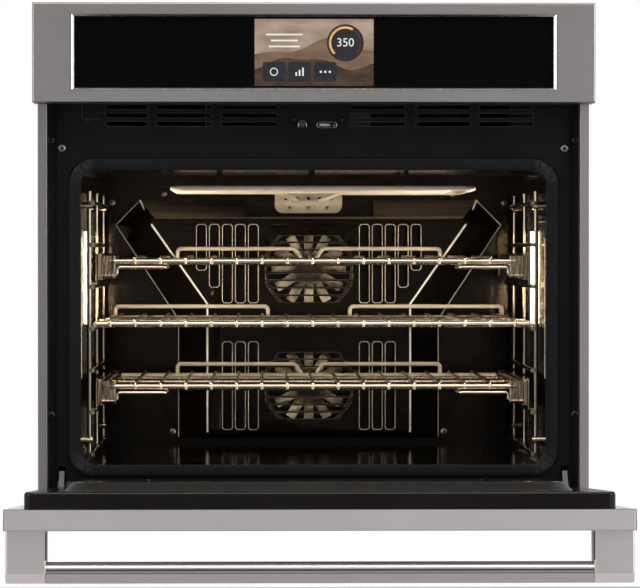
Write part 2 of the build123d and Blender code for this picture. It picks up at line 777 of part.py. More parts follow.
def pan_heads(places, y, radius, height):
    """Round screw heads on a face that looks at the viewer."""
    for x, z in places:
        with Locations(Plane(origin=(x, y, z), x_dir=(1, 0, 0), z_dir=(0, -1, 0))):
            Cylinder(radius, height, align=(Align.CENTER, Align.CENTER, Align.MIN))
            Box(radius, radius * SLOT_SHARE, height, mode=Mode.SUBTRACT)


os.makedirs("parts", exist_ok=True)

# Chassis sheets
with BuildPart() as base_pan:
    block((-HALF_IN - SHEET, HALF_IN + SHEET), (UPSTAND_Y, REAR_Y), (0, SHEET))
    block((-HALF_IN, HALF_IN), (UPSTAND_Y, UPSTAND_Y + SHEET), (0, UPSTAND_TOP))
    for hinge_side in (-1, 1):
        slot_x = (hinge_side * HINGE_X - ARM_SLOT / 2, hinge_side * HINGE_X + ARM_SLOT / 2)
        slot_z = (HINGE_Z + ARM_RISE - ARM_W, UPSTAND_TOP)
        block(slot_x, (UPSTAND_Y, UPSTAND_Y + SHEET), slot_z, Mode.SUBTRACT)
save(base_pan, "base_pan")

make_side_panel(-1, "left_side_panel")
make_side_panel(1, "right_side_panel")

with BuildPart() as rear_panel:
    block((-HALF_IN, HALF_IN), (REAR_Y - SHEET, REAR_Y), (SHEET, ROOF_Z))
    with BuildSketch(front(REAR_Y)):
        with Locations((0, LOUVRE_Z)):
            with GridLocations(LOUVRE_PITCH_X, LOUVRE_PITCH_Z, LOUVRE_COLS, LOUVRE_ROWS):
                SlotOverall(LOUVRE_W, LOUVRE_H)
        with Locations((GLAND_X, GLAND_Z)):
            Circle(GLAND_R)
    extrude(amount=SHEET, mode=Mode.SUBTRACT)
save(rear_panel, "rear_panel")

with BuildPart() as top_cover:
    block((-HALF_IN - SHEET, HALF_IN + SHEET), (FACE_Y, REAR_Y), (ROOF_Z, CHASSIS_H))
save(top_cover, "top_cover")

with BuildPart() as bay_floor:
    block((-HALF_IN, HALF_IN), (BAY_Y, REAR_Y - SHEET), (BAY_Z, BAY_Z + SHEET))
save(bay_floor, "bay_floor")

with BuildPart() as cable_gland:
    with BuildSketch(front(REAR_Y)):
        with Locations((GLAND_X, GLAND_Z)):
            Circle(GLAND_FLANGE_R)
            Circle(GLAND_BORE, mode=Mode.SUBTRACT)
    extrude(amount=-GLAND_FLANGE_T)
    with BuildSketch(front(REAR_Y + GLAND_OUT)):
        with Locations((GLAND_X, GLAND_Z)):
            Circle(GLAND_R)
            Circle(GLAND_BORE, mode=Mode.SUBTRACT)
    extrude(amount=GLAND_OUT + SHEET)
save(cable_gland, "cable_gland")

# Front frame
with BuildPart() as front_frame:
    block((-FLANGE_HALF, FLANGE_HALF), (FLANGE_FACE, FACE_Y), (FRAME_Z0, FRAME_TOP))
    for flange_side in (-1, 1):
        block(sided(flange_side, (HAT_HALF, FLANGE_HALF)), (FLANGE_FACE, FACE_Y), (FLANGE_Z0, FRAME_TOP))
    block((-HAT_HALF, HAT_HALF), (HAT_FACE, FACE_Y), (FRAME_Z0, HAT_TOP))
    hat_hollow = (-HAT_HALF + FLANGE_T, HAT_HALF - FLANGE_T)
    block(hat_hollow, (HAT_BACK, FACE_Y), (FRAME_Z0 + FLANGE_T, HAT_TOP - FLANGE_T), Mode.SUBTRACT)
    slab(front(HAT_BACK), (0, CAVITY_MID), (CAVITY_W, CAVITY_H), CAVITY_R, FLANGE_T, Mode.SUBTRACT)
    block((-VENT_DUCT_HALF, VENT_DUCT_HALF), (HAT_FACE, HAT_BACK), VENT_DUCT_Z, Mode.SUBTRACT)
    for hinge_side in (-1, 1):
        slot_x = (hinge_side * HINGE_X - ARM_SLOT / 2, hinge_side * HINGE_X + ARM_SLOT / 2)
        slot_z = (FRAME_Z0, HINGE_Z + ARM_RISE + ARM_W)
        block(slot_x, (HAT_FACE, FACE_Y), slot_z, Mode.SUBTRACT)
        for hole_z in MOUNT_Z:
            hole_x = hinge_side * MOUNT_X
            rod((hole_x, FLANGE_FACE, hole_z), (hole_x, FACE_Y, hole_z), MOUNT_R, Mode.SUBTRACT)
save(front_frame, "front_frame")

with BuildPart() as vent_panel:
    with BuildSketch(front(HAT_FACE)):
        with Locations((0, (VENT_Z0 + HAT_TOP) / 2)):
            Rectangle(2 * (HAT_HALF - VENT_EDGE), HAT_TOP - VENT_Z0)
        with Locations((0, CAVITY_MID)):
            RectangleRounded(
                GASKET_W + 2 * VENT_ARCH,
                GASKET_H + 2 * VENT_ARCH,
                GASKET_R + VENT_ARCH,
                mode=Mode.SUBTRACT,
            )
        for row in range(VENT_ROWS):
            low = VENT_ROW_Z + row * VENT_PITCH
            for inner_end, outer_end in VENT_ENDS:
                near = HAT_HALF - inner_end
                for vent_side, margin in ((-1, LEFT_VENT_END), (1, outer_end)):
                    far = HAT_HALF - max(outer_end, margin)
                    Polygon(
                        (vent_side * near, low),
                        (vent_side * (far - VENT_SLANT), low),
                        (vent_side * far, low + VENT_SLOT_H),
                        (vent_side * (near + VENT_SLANT), low + VENT_SLOT_H),
                        align=None,
                        mode=Mode.SUBTRACT,
                    )
        with Locations((mid(LATCH_SLOT), LATCH_Z)):
            SlotOverall(span(LATCH_SLOT), LATCH_SLOT_H, mode=Mode.SUBTRACT)
        with Locations((PLUNGER_X, PLUNGER_Z)):
            Circle(ARCH_HALF, mode=Mode.SUBTRACT)
        with Locations((PLUNGER_X, (ARCH_Z0 + PLUNGER_Z) / 2)):
            Rectangle(2 * ARCH_HALF, PLUNGER_Z - ARCH_Z0, mode=Mode.SUBTRACT)
    extrude(amount=VENT_T)
save(vent_panel, "vent_panel")

make_side_trim(-1, "left_side_trim")
make_side_trim(1, "right_side_trim")

with BuildPart() as door_gasket:
    slab(front(HAT_FACE), (0, CAVITY_MID), (GASKET_W, GASKET_H), GASKET_R, GASKET_PROUD)
    slab(front(HAT_FACE), (0, CAVITY_MID), (CAVITY_W, CAVITY_H), CAVITY_R, GASKET_PROUD, Mode.SUBTRACT)
    fillet(door_gasket.faces().sort_by(Axis.Y)[0].edges(), GASKET_ROUND)
save(door_gasket, "door_gasket")

# Cavity
with BuildPart() as cavity_liner:
    depth = LINER_BACK - HAT_BACK
    middle = (0, CAVITY_MID)
    slab(front(LINER_BACK + SHEET), middle, LINER_SIZE, CAVITY_R + SHEET, depth + SHEET)
    slab(front(LINER_BACK), middle, (CAVITY_W, CAVITY_H), CAVITY_R, depth, Mode.SUBTRACT)
    for fan_z in FAN_Z:
        rod((0, LINER_BACK, fan_z), (0, LINER_BACK + SHEET, fan_z), SHAFT_HOLE_R, Mode.SUBTRACT)
    block((-LINER_HALF, LINER_HALF), LAMP_Y, LAMP_Z, Mode.SUBTRACT)
save(cavity_liner, "cavity_liner")

with BuildPart() as insulation:
    wrap_half = HALF_IN - WRAP_SKIN
    tail = LINER_BACK + SHEET + WRAP_BACK
    block((-wrap_half, wrap_half), (WRAP_Y, tail), WRAP_Z)
    liner_end = LINER_BACK + SHEET
    slab(front(liner_end), (0, CAVITY_MID), LINER_SIZE, CAVITY_R + SHEET, CAVITY_D + SHEET, Mode.SUBTRACT)
    for fan_z in FAN_Z:
        rod((0, LINER_BACK, fan_z), (0, tail, fan_z), MOTOR_EAR + MOTOR_HOLE, Mode.SUBTRACT)
    lamp_reach = LINER_HALF + LAMP_D
    block((-lamp_reach, lamp_reach), LAMP_Y, LAMP_Z, Mode.SUBTRACT)
    element_floor = CAVITY_Z[0] - SHEET - 2 * TUBE_R - BAKE_POCKET
    bake_half = BAKE_HALF + BAKE_BEND
    bake_end = BAKE_Y + (BAKE_PASSES - 1) * BAKE_PITCH + BAKE_BEND
    bake_y = (BAKE_Y - BAKE_BEND, bake_end)
    block((-bake_half, bake_half), bake_y, (element_floor, CAVITY_Z[0]), Mode.SUBTRACT)
    for hinge_side in (-1, 1):
        pocket_x = sided(hinge_side, (HINGE_X - ARM_SLOT / 2, HALF_IN))
        pocket_z = (WRAP_Z[0], HINGE_Z + ARM_RISE + ARM_W)
        block(pocket_x, (WRAP_Y, FACE_Y + ARM_DEPTH + ARM_SLOT), pocket_z, Mode.SUBTRACT)
    block((-wrap_half, wrap_half), (WRAP_Y, UPSTAND_Y + SHEET), (WRAP_Z[0], UPSTAND_TOP), Mode.SUBTRACT)
save(insulation, "insulation")

with BuildPart() as convection_cover:
    cover_body(0, Mode.ADD)
    fillet(convection_cover.faces().sort_by(Axis.Y)[0].edges(), COVER_ROUND)
    cover_body(COVER_T, Mode.SUBTRACT)
    niche_z = (COVER_TOP[0][1] + COVER_T, CAVITY_Z[1])
    block((-NICHE_HALF, NICHE_HALF), (COVER_FACE, LINER_BACK), niche_z, Mode.SUBTRACT)
    with BuildSketch(front(COVER_FACE)):
        for slot_side in (-1, 1):
            for place, foot in enumerate(UPPER_SLOT_FEET):
                cut_slot(slot_side * (SLOT_X + place * SLOT_PITCH), FAN_Z[0] - foot, UPPER_SLOT_TOP)
            for place in range(LOWER_SLOTS):
                cut_slot(slot_side * (SLOT_X + place * SLOT_PITCH), LOWER_SLOT_Z[0], LOWER_SLOT_Z[1])
        for fan_z in FAN_Z:
            for row in range(-GRILLE_ROWS, GRILLE_ROWS + 1):
                cut_grille_row(fan_z, row * GRILLE_PITCH)
    extrude(amount=-2 * COVER_T, mode=Mode.SUBTRACT)
save(convection_cover, "convection_cover")

with BuildPart() as convection_elements:
    for fan_plane in FAN_PLANES:
        ring_element(fan_plane)
save(convection_elements, "convection_elements")

with BuildPart(*FAN_PLANES) as convection_motors:
    with Locations((0, 0, -SHEET)):
        behind = (Align.CENTER, Align.CENTER, Align.MAX)
        Cylinder(MOTOR_R, MOTOR_L, align=behind)
        Cylinder(MOTOR_EAR, MOTOR_EAR_T, align=behind)
        Cylinder(SHAFT_R + SHAFT_PLAY, MOTOR_L, align=behind, mode=Mode.SUBTRACT)
save(convection_motors, "convection_motors")

for fan_plane, fan_name in zip(FAN_PLANES, ("upper_fan", "lower_fan")):
    make_fan(fan_plane, fan_name)

with BuildPart() as broil_element:
    run = serpentine(BROIL_HALF, BROIL_Y, BROIL_PITCH, BROIL_PASSES)
    rear_y = run[-1][1]
    run[0] = (BROIL_HALF + BROIL_RETURN, BROIL_Y)
    start = [
        (BROIL_LEAD_X, LINER_BACK - TERMINAL_T, BROIL_LEAD_Z),
        (BROIL_LEAD_X, BROIL_LEAD_Y, BROIL_LEAD_Z),
        (BROIL_LEAD_X + BROIL_RETURN, BROIL_LEAD_Y, BROIL_Z),
        (BROIL_HALF + BROIL_RETURN, BROIL_LEAD_Y, BROIL_Z),
    ]
    finish = [
        (-BROIL_LEAD_X - BROIL_RETURN, rear_y, BROIL_Z),
        (-BROIL_LEAD_X, BROIL_LEAD_Y, BROIL_LEAD_Z),
        (-BROIL_LEAD_X, LINER_BACK - TERMINAL_T, BROIL_LEAD_Z),
    ]
    run[-1] = finish.pop(0)[:2]
    wire(start + [(x, y, BROIL_Z) for x, y in run] + finish, TUBE_R, TUBE_R * 4)
save(broil_element, "broil_element")

with BuildPart() as broil_hangers:
    first_y = BROIL_Y - BROIL_BEND
    last_y = BROIL_Y + (BROIL_PASSES - 1) * BROIL_PITCH + BROIL_BEND
    strap_z = BROIL_Z + TUBE_R + FIT
    for place in (-HANGER_X, 0, HANGER_X):
        strap_x = (place - HANGER_W / 2, place + HANGER_W / 2)
        block(strap_x, (first_y, last_y), (strap_z, strap_z + HANGER_T))
        for y in (first_y, last_y - HANGER_W):
            block(strap_x, (y, y + HANGER_W), (strap_z, CAVITY_Z[1]))
save(broil_hangers, "broil_hangers")

with BuildPart() as broil_terminal_plate:
    with BuildSketch(front(LINER_BACK)) as plate:
        with Locations((0, mid(TERMINAL_Z))):
            Rectangle(2 * TERMINAL_HALF, span(TERMINAL_Z))
        fillet(plate.vertices().sort_by(Axis.Y)[:2], TERMINAL_R)
        with Locations((0, TERMINAL_Z[1] - TERMINAL_HOLE_DROP)):
            with GridLocations(TERMINAL_HOLE_PITCH, 0, TERMINAL_HOLES, 1):
                Circle(TERMINAL_HOLE_R, mode=Mode.SUBTRACT)
    extrude(amount=TERMINAL_T)
    for rivet_x in (-TERMINAL_RIVET_X, 0, TERMINAL_RIVET_X):
        rivet_foot = (rivet_x, LINER_BACK - TERMINAL_T, TERMINAL_Z[0] + TERMINAL_RIVET_RISE)
        rod(rivet_foot, (rivet_x, rivet_foot[1] - RIVET_H, rivet_foot[2]), RIVET_R)
save(broil_terminal_plate, "broil_terminal_plate")

with BuildPart() as bake_element:
    bake_z = CAVITY_Z[0] - SHEET - TUBE_R - FIT
    bake_run = serpentine(BAKE_HALF, BAKE_Y, BAKE_PITCH, BAKE_PASSES)
    wire([(x, y, bake_z) for x, y in bake_run], TUBE_R, BAKE_BEND)
save(bake_element, "bake_element")

make_rack_support(-1, "left_rack_support")
make_rack_support(1, "right_rack_support")

# Lamps
with BuildPart() as lamp_housings:
    for lamp_side in (-1, 1):
        block(sided(lamp_side, (LINER_HALF, LINER_HALF + LAMP_D)), LAMP_Y, LAMP_Z)
        hollow_y = (LAMP_Y[0] + SHEET, LAMP_Y[1] - SHEET)
        hollow_z = (LAMP_Z[0] + SHEET, LAMP_Z[1] - SHEET)
        hollow_x = sided(lamp_side, (LINER_HALF, LINER_HALF + LAMP_D - SHEET))
        block(hollow_x, hollow_y, hollow_z, Mode.SUBTRACT)
save(lamp_housings, "lamp_housings")

with BuildPart() as lamp_bulbs:
    for lamp_side in (-1, 1):
        bulb_x = lamp_side * (LINER_HALF + LAMP_D - SHEET - BULB_R)
        bulb_z = (LAMP_Z[0] + SHEET, LAMP_Z[0] + SHEET + BULB_L)
        rod((bulb_x, mid(LAMP_Y), bulb_z[0]), (bulb_x, mid(LAMP_Y), bulb_z[1]), BULB_R)
save(lamp_bulbs, "lamp_bulbs")

with BuildPart() as lamp_lenses:
    for lamp_side in (-1, 1):
        lens_y = (LAMP_Y[0] - LENS_LIP, LAMP_Y[1] + LENS_LIP)
        lens_z = (LAMP_Z[0] - LENS_LIP, LAMP_Z[1] + LENS_LIP)
        block(sided(lamp_side, (CAVITY_HALF - LENS_T / 2, CAVITY_HALF)), lens_y, lens_z)
    fillet(lamp_lenses.edges().filter_by(Axis.X), LENS_ROUND)
save(lamp_lenses, "lamp_lenses")

with BuildPart() as probe_jack:
    jack_foot = (CAVITY_HALF, PROBE_Y, PROBE_Z)
    jack_end = (CAVITY_HALF - PROBE_L, PROBE_Y, PROBE_Z)
    rod(jack_foot, jack_end, PROBE_R)
    rod(jack_foot, jack_end, PROBE_HOLE_R, Mode.SUBTRACT)
save(probe_jack, "probe_jack")

# Control panel
with BuildPart() as panel_hollow:
    hollow_x = (-HALF_W + PANEL_SKIN, HALF_W - PANEL_SKIN)
    hollow_z = (PANEL_Z0 + PANEL_SKIN, TOTAL_H - PANEL_SKIN)
    block(hollow_x, (PANEL_FRONT + PANEL_SKIN, FLANGE_FACE), hollow_z)
    with BuildSketch(front(PANEL_FRONT)):
        with Locations((0, BEZEL_Z)):
            Rectangle(BEZEL_W + 2 * PANEL_SKIN, BEZEL_H + 2 * PANEL_SKIN)
    with BuildSketch(front(GLASS_Y)):
        with Locations((0, BEZEL_Z)):
            Rectangle(SIGHT_W + 2 * PANEL_SKIN, SIGHT_H + 2 * PANEL_SKIN)
    loft(mode=Mode.SUBTRACT)

with BuildPart() as control_panel_frame:
    block((-HALF_W, HALF_W), (PANEL_FRONT, FLANGE_FACE), (PANEL_Z0, TOTAL_H))
    fillet(control_panel_frame.faces().sort_by(Axis.Y)[0].edges(), PANEL_ROUND)
    with BuildSketch(front(PANEL_FRONT)):
        with Locations((0, BEZEL_Z)):
            Rectangle(BEZEL_W, BEZEL_H)
    with BuildSketch(front(GLASS_Y)):
        with Locations((0, BEZEL_Z)):
            Rectangle(SIGHT_W, SIGHT_H)
    loft(mode=Mode.SUBTRACT)
    add(panel_hollow.part, mode=Mode.SUBTRACT)
    floor_cut = (PANEL_Z0, PANEL_Z0 + PANEL_SKIN)
    hat_room = (-HAT_HALF - FLANGE_T, HAT_HALF + FLANGE_T)
    block(hat_room, (VENT_FACE - FLANGE_T, FLANGE_FACE), floor_cut, Mode.SUBTRACT)
save(control_panel_frame, "control_panel_frame")

with BuildPart() as control_glass:
    with BuildSketch(front(GLASS_Y)):
        with Locations((0, BEZEL_Z)):
            Rectangle(SIGHT_W + 2 * GLASS_LIP, SIGHT_H + 2 * GLASS_LIP)
            Rectangle(SCREEN_W + 2 * SCREEN_GAP, SCREEN_H + 2 * SCREEN_GAP, mode=Mode.SUBTRACT)
    extrude(amount=-GLASS_T)
save(control_glass, "control_glass")

with BuildPart() as display:
    with BuildSketch(front(GLASS_Y)):
        with Locations((0, BEZEL_Z)):
            Rectangle(SCREEN_W, SCREEN_H)
    extrude(amount=-GLASS_T)
    with BuildSketch(front(GLASS_Y + GLASS_T)):
        with Locations((0, BEZEL_Z)):
            Rectangle(SCREEN_W + 2 * MODULE_RIM, SCREEN_H + 2 * MODULE_RIM)
    extrude(amount=-MODULE_D)
save(display, "display")

with BuildPart() as control_board:
    with BuildSketch(front(GLASS_Y + GLASS_T + MODULE_D)):
        with Locations((0, BEZEL_Z)):
            Rectangle(BOARD_W, BOARD_H)
    extrude(amount=-BOARD_T)
save(control_board, "control_board")

# Electronics bay
BLOWER_Z = (BAY_Z + SHEET, BAY_Z + SHEET + BLOWER_H)
WHEEL_Y = mid(BLOWER_Y)
WHEEL_Z = mid(BLOWER_Z)
with BuildPart() as blower_housing:
    block(BLOWER_X, BLOWER_Y, BLOWER_Z)
    hollow_x = (BLOWER_X[0] + SHEET, BLOWER_X[1] - SHEET)
    hollow_z = (BLOWER_Z[0] + SHEET, BLOWER_Z[1] - SHEET)
    block(hollow_x, (BLOWER_Y[0], BLOWER_Y[1] - SHEET), hollow_z, Mode.SUBTRACT)
    wall = (BLOWER_X[1], WHEEL_Y, WHEEL_Z)
    rod(wall, (BLOWER_X[1] - SHEET, WHEEL_Y, WHEEL_Z), BLOWER_HOLE_R, Mode.SUBTRACT)
save(blower_housing, "blower_housing")

with BuildPart() as blower_motor:
    motor_end = (BLOWER_X[1] + BLOWER_MOTOR_L, WHEEL_Y, WHEEL_Z)
    rod(wall, motor_end, BLOWER_MOTOR_R)
    rod(wall, motor_end, SHAFT_R + SHAFT_PLAY, Mode.SUBTRACT)
save(blower_motor, "blower_motor")

with BuildPart() as blower_wheel:
    ends = (BLOWER_X[0] + WHEEL_INSET, BLOWER_X[1] - WHEEL_INSET)
    for place in (ends[0], mid(ends), ends[1] - WHEEL_DISC):
        rod((place, WHEEL_Y, WHEEL_Z), (place + WHEEL_DISC, WHEEL_Y, WHEEL_Z), WHEEL_R)
    rod((ends[0], WHEEL_Y, WHEEL_Z), (BLOWER_X[1] + BLOWER_MOTOR_L / 2, WHEEL_Y, WHEEL_Z), SHAFT_R)
    with Locations(Plane(origin=(mid(ends), WHEEL_Y, WHEEL_Z), z_dir=(1, 0, 0))):
        with PolarLocations(WHEEL_R - 2 * VANE_R, WHEEL_VANES):
            Cylinder(VANE_R, span(ends))
save(blower_wheel, "blower_wheel")

# Latch and door switch
with BuildPart() as latch_body:
    block(LATCH_PLATE_X, (HAT_BACK, HAT_BACK + LATCH_PLATE_D), LATCH_PLATE_Z)
    block(LATCH_MOTOR_X, LATCH_MOTOR_Y, (LATCH_PLATE_Z[1], LATCH_MOTOR_TOP))
    post_foot = (LATCH_X, LATCH_Y, LATCH_PLATE_Z[1])
    rod(post_foot, (LATCH_X, LATCH_Y, LATCH_Z - LATCH_T / 2 - FIT), LATCH_SHOULDER)
    rod(post_foot, (LATCH_X, LATCH_Y, LATCH_Z + LATCH_T), LATCH_POST_R)
    guide_x = (PLUNGER_X - GUIDE_HALF, PLUNGER_X + GUIDE_HALF)
    block(guide_x, GUIDE_Y, (LATCH_PLATE_Z[1], GUIDE_TOP))
    bore_end = (PLUNGER_X, GUIDE_Y[1], PLUNGER_Z)
    rod((PLUNGER_X, GUIDE_Y[0], PLUNGER_Z), bore_end, PLUNGER_R + PLUNGER_PLAY, Mode.SUBTRACT)
save(latch_body, "latch_body")

with BuildPart() as latch_hook:
    with BuildSketch(Plane.XY.offset(LATCH_Z - LATCH_T / 2)):
        with BuildLine():
            Polyline((LATCH_X, LATCH_Y), LATCH_TIP)
        trace(line_width=LATCH_ARM_W)
        with Locations((LATCH_X, LATCH_Y)):
            Circle(LATCH_EYE)
            Circle(LATCH_POST_R + PIN_PLAY, mode=Mode.SUBTRACT)
    extrude(amount=LATCH_T)
save(latch_hook, "latch_hook")

with BuildPart() as door_switch_plunger:
    rod((PLUNGER_X, PLUNGER_TIP, PLUNGER_Z), (PLUNGER_X, PLUNGER_TAIL, PLUNGER_Z), PLUNGER_R)
    collar_end = (PLUNGER_X, PLUNGER_COLLAR_Y + PLUNGER_COLLAR_T, PLUNGER_Z)
    rod((PLUNGER_X, PLUNGER_COLLAR_Y, PLUNGER_Z), collar_end, PLUNGER_COLLAR_R)
    fillet(door_switch_plunger.faces().sort_by(Axis.Y)[0].edges(), PLUNGER_R / 2)
save(door_switch_plunger, "door_switch_plunger")

# Hinges
make_hinge_arm(-1, "left_hinge_arm")
make_hinge_arm(1, "right_hinge_arm")
make_door_hinge(-1, "left_door_hinge")
make_door_hinge(1, "right_door_hinge")

with BuildPart(DOOR_PLANE) as hinge_pins:
    pin_l = ARM_T + 2 * (CHEEK_PLAY + CHEEK_T + PIN_OVER)
    with Locations((-HINGE_X, 0, 0), (HINGE_X, 0, 0)):
        Cylinder(PIN_R, pin_l, rotation=(0, 90, 0))
save(hinge_pins, "hinge_pins")

# Door
DOOR_MID = (DOOR_FOOT + DOOR_TOP) / 2
DOOR_H = DOOR_TOP - DOOR_FOOT
with BuildPart(DOOR_PLANE) as door_skin:
    block((-HALF_W, HALF_W), (DOOR_FOOT, DOOR_TOP), (SKIN_BACK, DOOR_FACE))
    fillet(door_skin.edges().filter_by(DOOR_OUT), SKIN_ROUND)
    hollow_x = (-HALF_W + SHEET, HALF_W - SHEET)
    hollow_v = (DOOR_FOOT + SHEET, DOOR_TOP - SHEET)
    block(hollow_x, hollow_v, (SKIN_BACK + SHEET, DOOR_FACE - SHEET), Mode.SUBTRACT)
    rear_v = (DOOR_FOOT + 2 * SKIN_REAR_EDGE, DOOR_TOP - SKIN_REAR_EDGE)
    block((-SKIN_REAR_HALF, SKIN_REAR_HALF), rear_v, (SKIN_BACK, SKIN_BACK + SHEET), Mode.SUBTRACT)
    window_size = (2 * WINDOW_HALF, span(WINDOW_V))
    slab(DOOR_PLANE.offset(DOOR_FACE), (0, mid(WINDOW_V)), window_size, WINDOW_R, -SHEET, Mode.SUBTRACT)
save(door_skin, "door_skin")

with BuildPart(DOOR_PLANE) as door_outer_glass:
    pane_v = (WINDOW_V[0] - WINDOW_LIP, WINDOW_V[1] + WINDOW_LIP)
    pane_w = (DOOR_FACE - SHEET - GLASS_T, DOOR_FACE - SHEET)
    block((-WINDOW_HALF - WINDOW_LIP, WINDOW_HALF + WINDOW_LIP), pane_v, pane_w)
save(door_outer_glass, "door_outer_glass")

with BuildPart() as door_inner_panel:
    rim_v = (RIM_FOOT, RIM_TOP)
    rim_size = (2 * RIM_HALF, span(rim_v))
    slab(DOOR_PLANE.offset(RIM_FACE), (0, mid(rim_v)), rim_size, RIM_R, RIM_T)
    fillet(door_inner_panel.faces().sort_by(DOOR_OUT)[0].edges(), RIM_ROUND)
    plug_size = (2 * PLUG_HALF, span(PLUG_V))
    slab(DOOR_PLANE.offset(PLUG_FACE), (0, mid(PLUG_V)), plug_size, PLUG_R, PLUG_H + RIM_T / 2)
    fillet(door_inner_panel.faces().sort_by(DOOR_OUT)[0].edges(), PLUG_ROUND)
    for face, at, size, corner in (
        (RIM_FACE, mid(rim_v), rim_size, RIM_R),
        (PLUG_FACE, mid(PLUG_V), plug_size, PLUG_R),
    ):
        hollow = (size[0] - 2 * RIM_SHEET, size[1] - 2 * RIM_SHEET)
        floor = DOOR_PLANE.offset(face + RIM_SHEET)
        slab(floor, (0, at), hollow, corner - RIM_SHEET, RIM_T, Mode.SUBTRACT)
    inner_size = (2 * INNER_HALF, span(INNER_V))
    slab(DOOR_PLANE.offset(PLUG_FACE), (0, mid(INNER_V)), inner_size, WINDOW_R, RIM_SHEET, Mode.SUBTRACT)
    latch_size = (span(LATCH_DOOR_SLOT_X), LATCH_DOOR_SLOT_H)
    latch_at = (mid(LATCH_DOOR_SLOT_X), LATCH_Z - HINGE_Z)
    latch_r = LATCH_DOOR_SLOT_H * NOTCH_ROUND
    slab(DOOR_PLANE.offset(RIM_FACE), latch_at, latch_size, latch_r, RIM_SHEET, Mode.SUBTRACT)
    for hinge_side in (-1, 1):
        notch_w = ARM_T + 2 * NOTCH_PLAY
        notch_at = (hinge_side * HINGE_X, (RIM_FOOT + NOTCH_V) / 2 - RIM_SHEET)
        notch_size = (notch_w, NOTCH_V - RIM_FOOT)
        slab(DOOR_PLANE.offset(RIM_FACE), notch_at, notch_size, notch_w * NOTCH_ROUND, RIM_T, Mode.SUBTRACT)
save(door_inner_panel, "door_inner_panel")

with BuildPart(DOOR_PLANE) as door_inner_glass:
    pane_v = (INNER_V[0] - INNER_LIP, INNER_V[1] + INNER_LIP)
    pane_w = (PLUG_FACE + RIM_SHEET, PLUG_FACE + RIM_SHEET + GLASS_T)
    block((-INNER_HALF - INNER_LIP, INNER_HALF + INNER_LIP), pane_v, pane_w)
save(door_inner_glass, "door_inner_glass")

with BuildPart(DOOR_PLANE) as door_insulation:
    pack_w = (RIM_FACE + RIM_SHEET, SKIN_BACK)
    block((-PACK_HALF, PACK_HALF), PACK_V, pack_w)
    sight_x = (-INNER_HALF - INNER_LIP, INNER_HALF + INNER_LIP)
    block(sight_x, (INNER_V[0] - INNER_LIP, WINDOW_V[1]), pack_w, Mode.SUBTRACT)
save(door_insulation, "door_insulation")

# Handle
with BuildPart() as handle_bar:
    bar_foot = DOOR_FACE + HANDLE_STAND - BAR_T
    extrude(handle_profile(handle_plane(-CAP_X[0]), bar_foot, BAR_ROUND), amount=2 * CAP_X[0])
save(handle_bar, "handle_bar")

make_handle_cap(-1, "left_handle_cap")
make_handle_cap(1, "right_handle_cap")

# Racks
UPPER_Z = MIDDLE_Z + RACK_PITCH
LOWER_Z = MIDDLE_Z - RACK_PITCH
for level, rack_z in (("upper", UPPER_Z), ("lower", LOWER_Z)):
    make_running_rack(rack_z, f"{level}_rack")
    make_slide_rails(rack_z, f"{level}_slide_rails")
    make_slide_carriers(rack_z, f"{level}_slide_carriers")

with BuildPart() as middle_rack:
    rack_grid(MIDDLE_Z, PLAIN_SIDE_X, PLAIN_WIRES, PLAIN_STOP)
save(middle_rack, "middle_rack")

# Screw heads
with BuildPart() as screws:
    for half, height in VENT_SCREWS:
        pan_heads(((-half, height), (half, height)), VENT_FACE, HEAD_R, HEAD_H)
    pan_heads(SMALL_SCREWS, VENT_FACE, HEAD_SMALL_R, HEAD_SMALL_H)
    for half, height in WALL_SCREWS:
        pan_heads(((-half, height), (half, height)), LINER_BACK, HEAD_R, HEAD_H)
save(screws, "screws")
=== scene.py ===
"""Looks of the built-in wall oven: finishes, woven gasket, screen picture, lights and camera."""
from math import cos, pi, radians, sin, tau

import bpy
from mathutils import Matrix, Vector


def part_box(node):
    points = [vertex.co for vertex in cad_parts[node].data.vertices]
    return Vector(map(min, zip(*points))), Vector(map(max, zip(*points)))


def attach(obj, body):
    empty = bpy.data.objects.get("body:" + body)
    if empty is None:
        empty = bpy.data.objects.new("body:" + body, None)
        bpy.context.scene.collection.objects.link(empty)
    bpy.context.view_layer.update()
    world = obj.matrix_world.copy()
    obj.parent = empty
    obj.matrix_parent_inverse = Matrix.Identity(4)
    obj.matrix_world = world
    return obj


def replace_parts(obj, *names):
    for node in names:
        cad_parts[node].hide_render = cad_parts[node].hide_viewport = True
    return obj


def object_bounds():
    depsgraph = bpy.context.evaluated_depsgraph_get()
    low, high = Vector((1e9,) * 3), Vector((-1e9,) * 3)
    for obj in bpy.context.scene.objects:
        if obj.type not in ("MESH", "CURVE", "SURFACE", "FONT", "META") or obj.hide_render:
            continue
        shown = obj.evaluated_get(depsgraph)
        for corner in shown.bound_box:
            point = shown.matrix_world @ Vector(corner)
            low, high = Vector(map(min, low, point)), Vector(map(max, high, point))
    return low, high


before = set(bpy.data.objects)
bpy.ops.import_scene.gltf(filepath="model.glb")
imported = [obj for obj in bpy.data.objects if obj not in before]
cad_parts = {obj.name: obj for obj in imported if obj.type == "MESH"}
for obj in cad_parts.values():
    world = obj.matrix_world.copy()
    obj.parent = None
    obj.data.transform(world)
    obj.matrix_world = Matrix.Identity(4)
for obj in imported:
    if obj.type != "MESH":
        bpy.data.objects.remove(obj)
CAD_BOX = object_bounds()
SIDES = (-1, 1)
CORNER_SIGNS = ((1, 1), (-1, 1), (-1, -1), (1, -1))

# Camera, in metres and degrees
CAMERA_AT = (-0.067, -4.659, 0.375)
CAMERA_DOWN = 0.786
CAMERA_RIGHT = 0.995
CAMERA_LENS = 180.4
SENSOR_W = 36.0

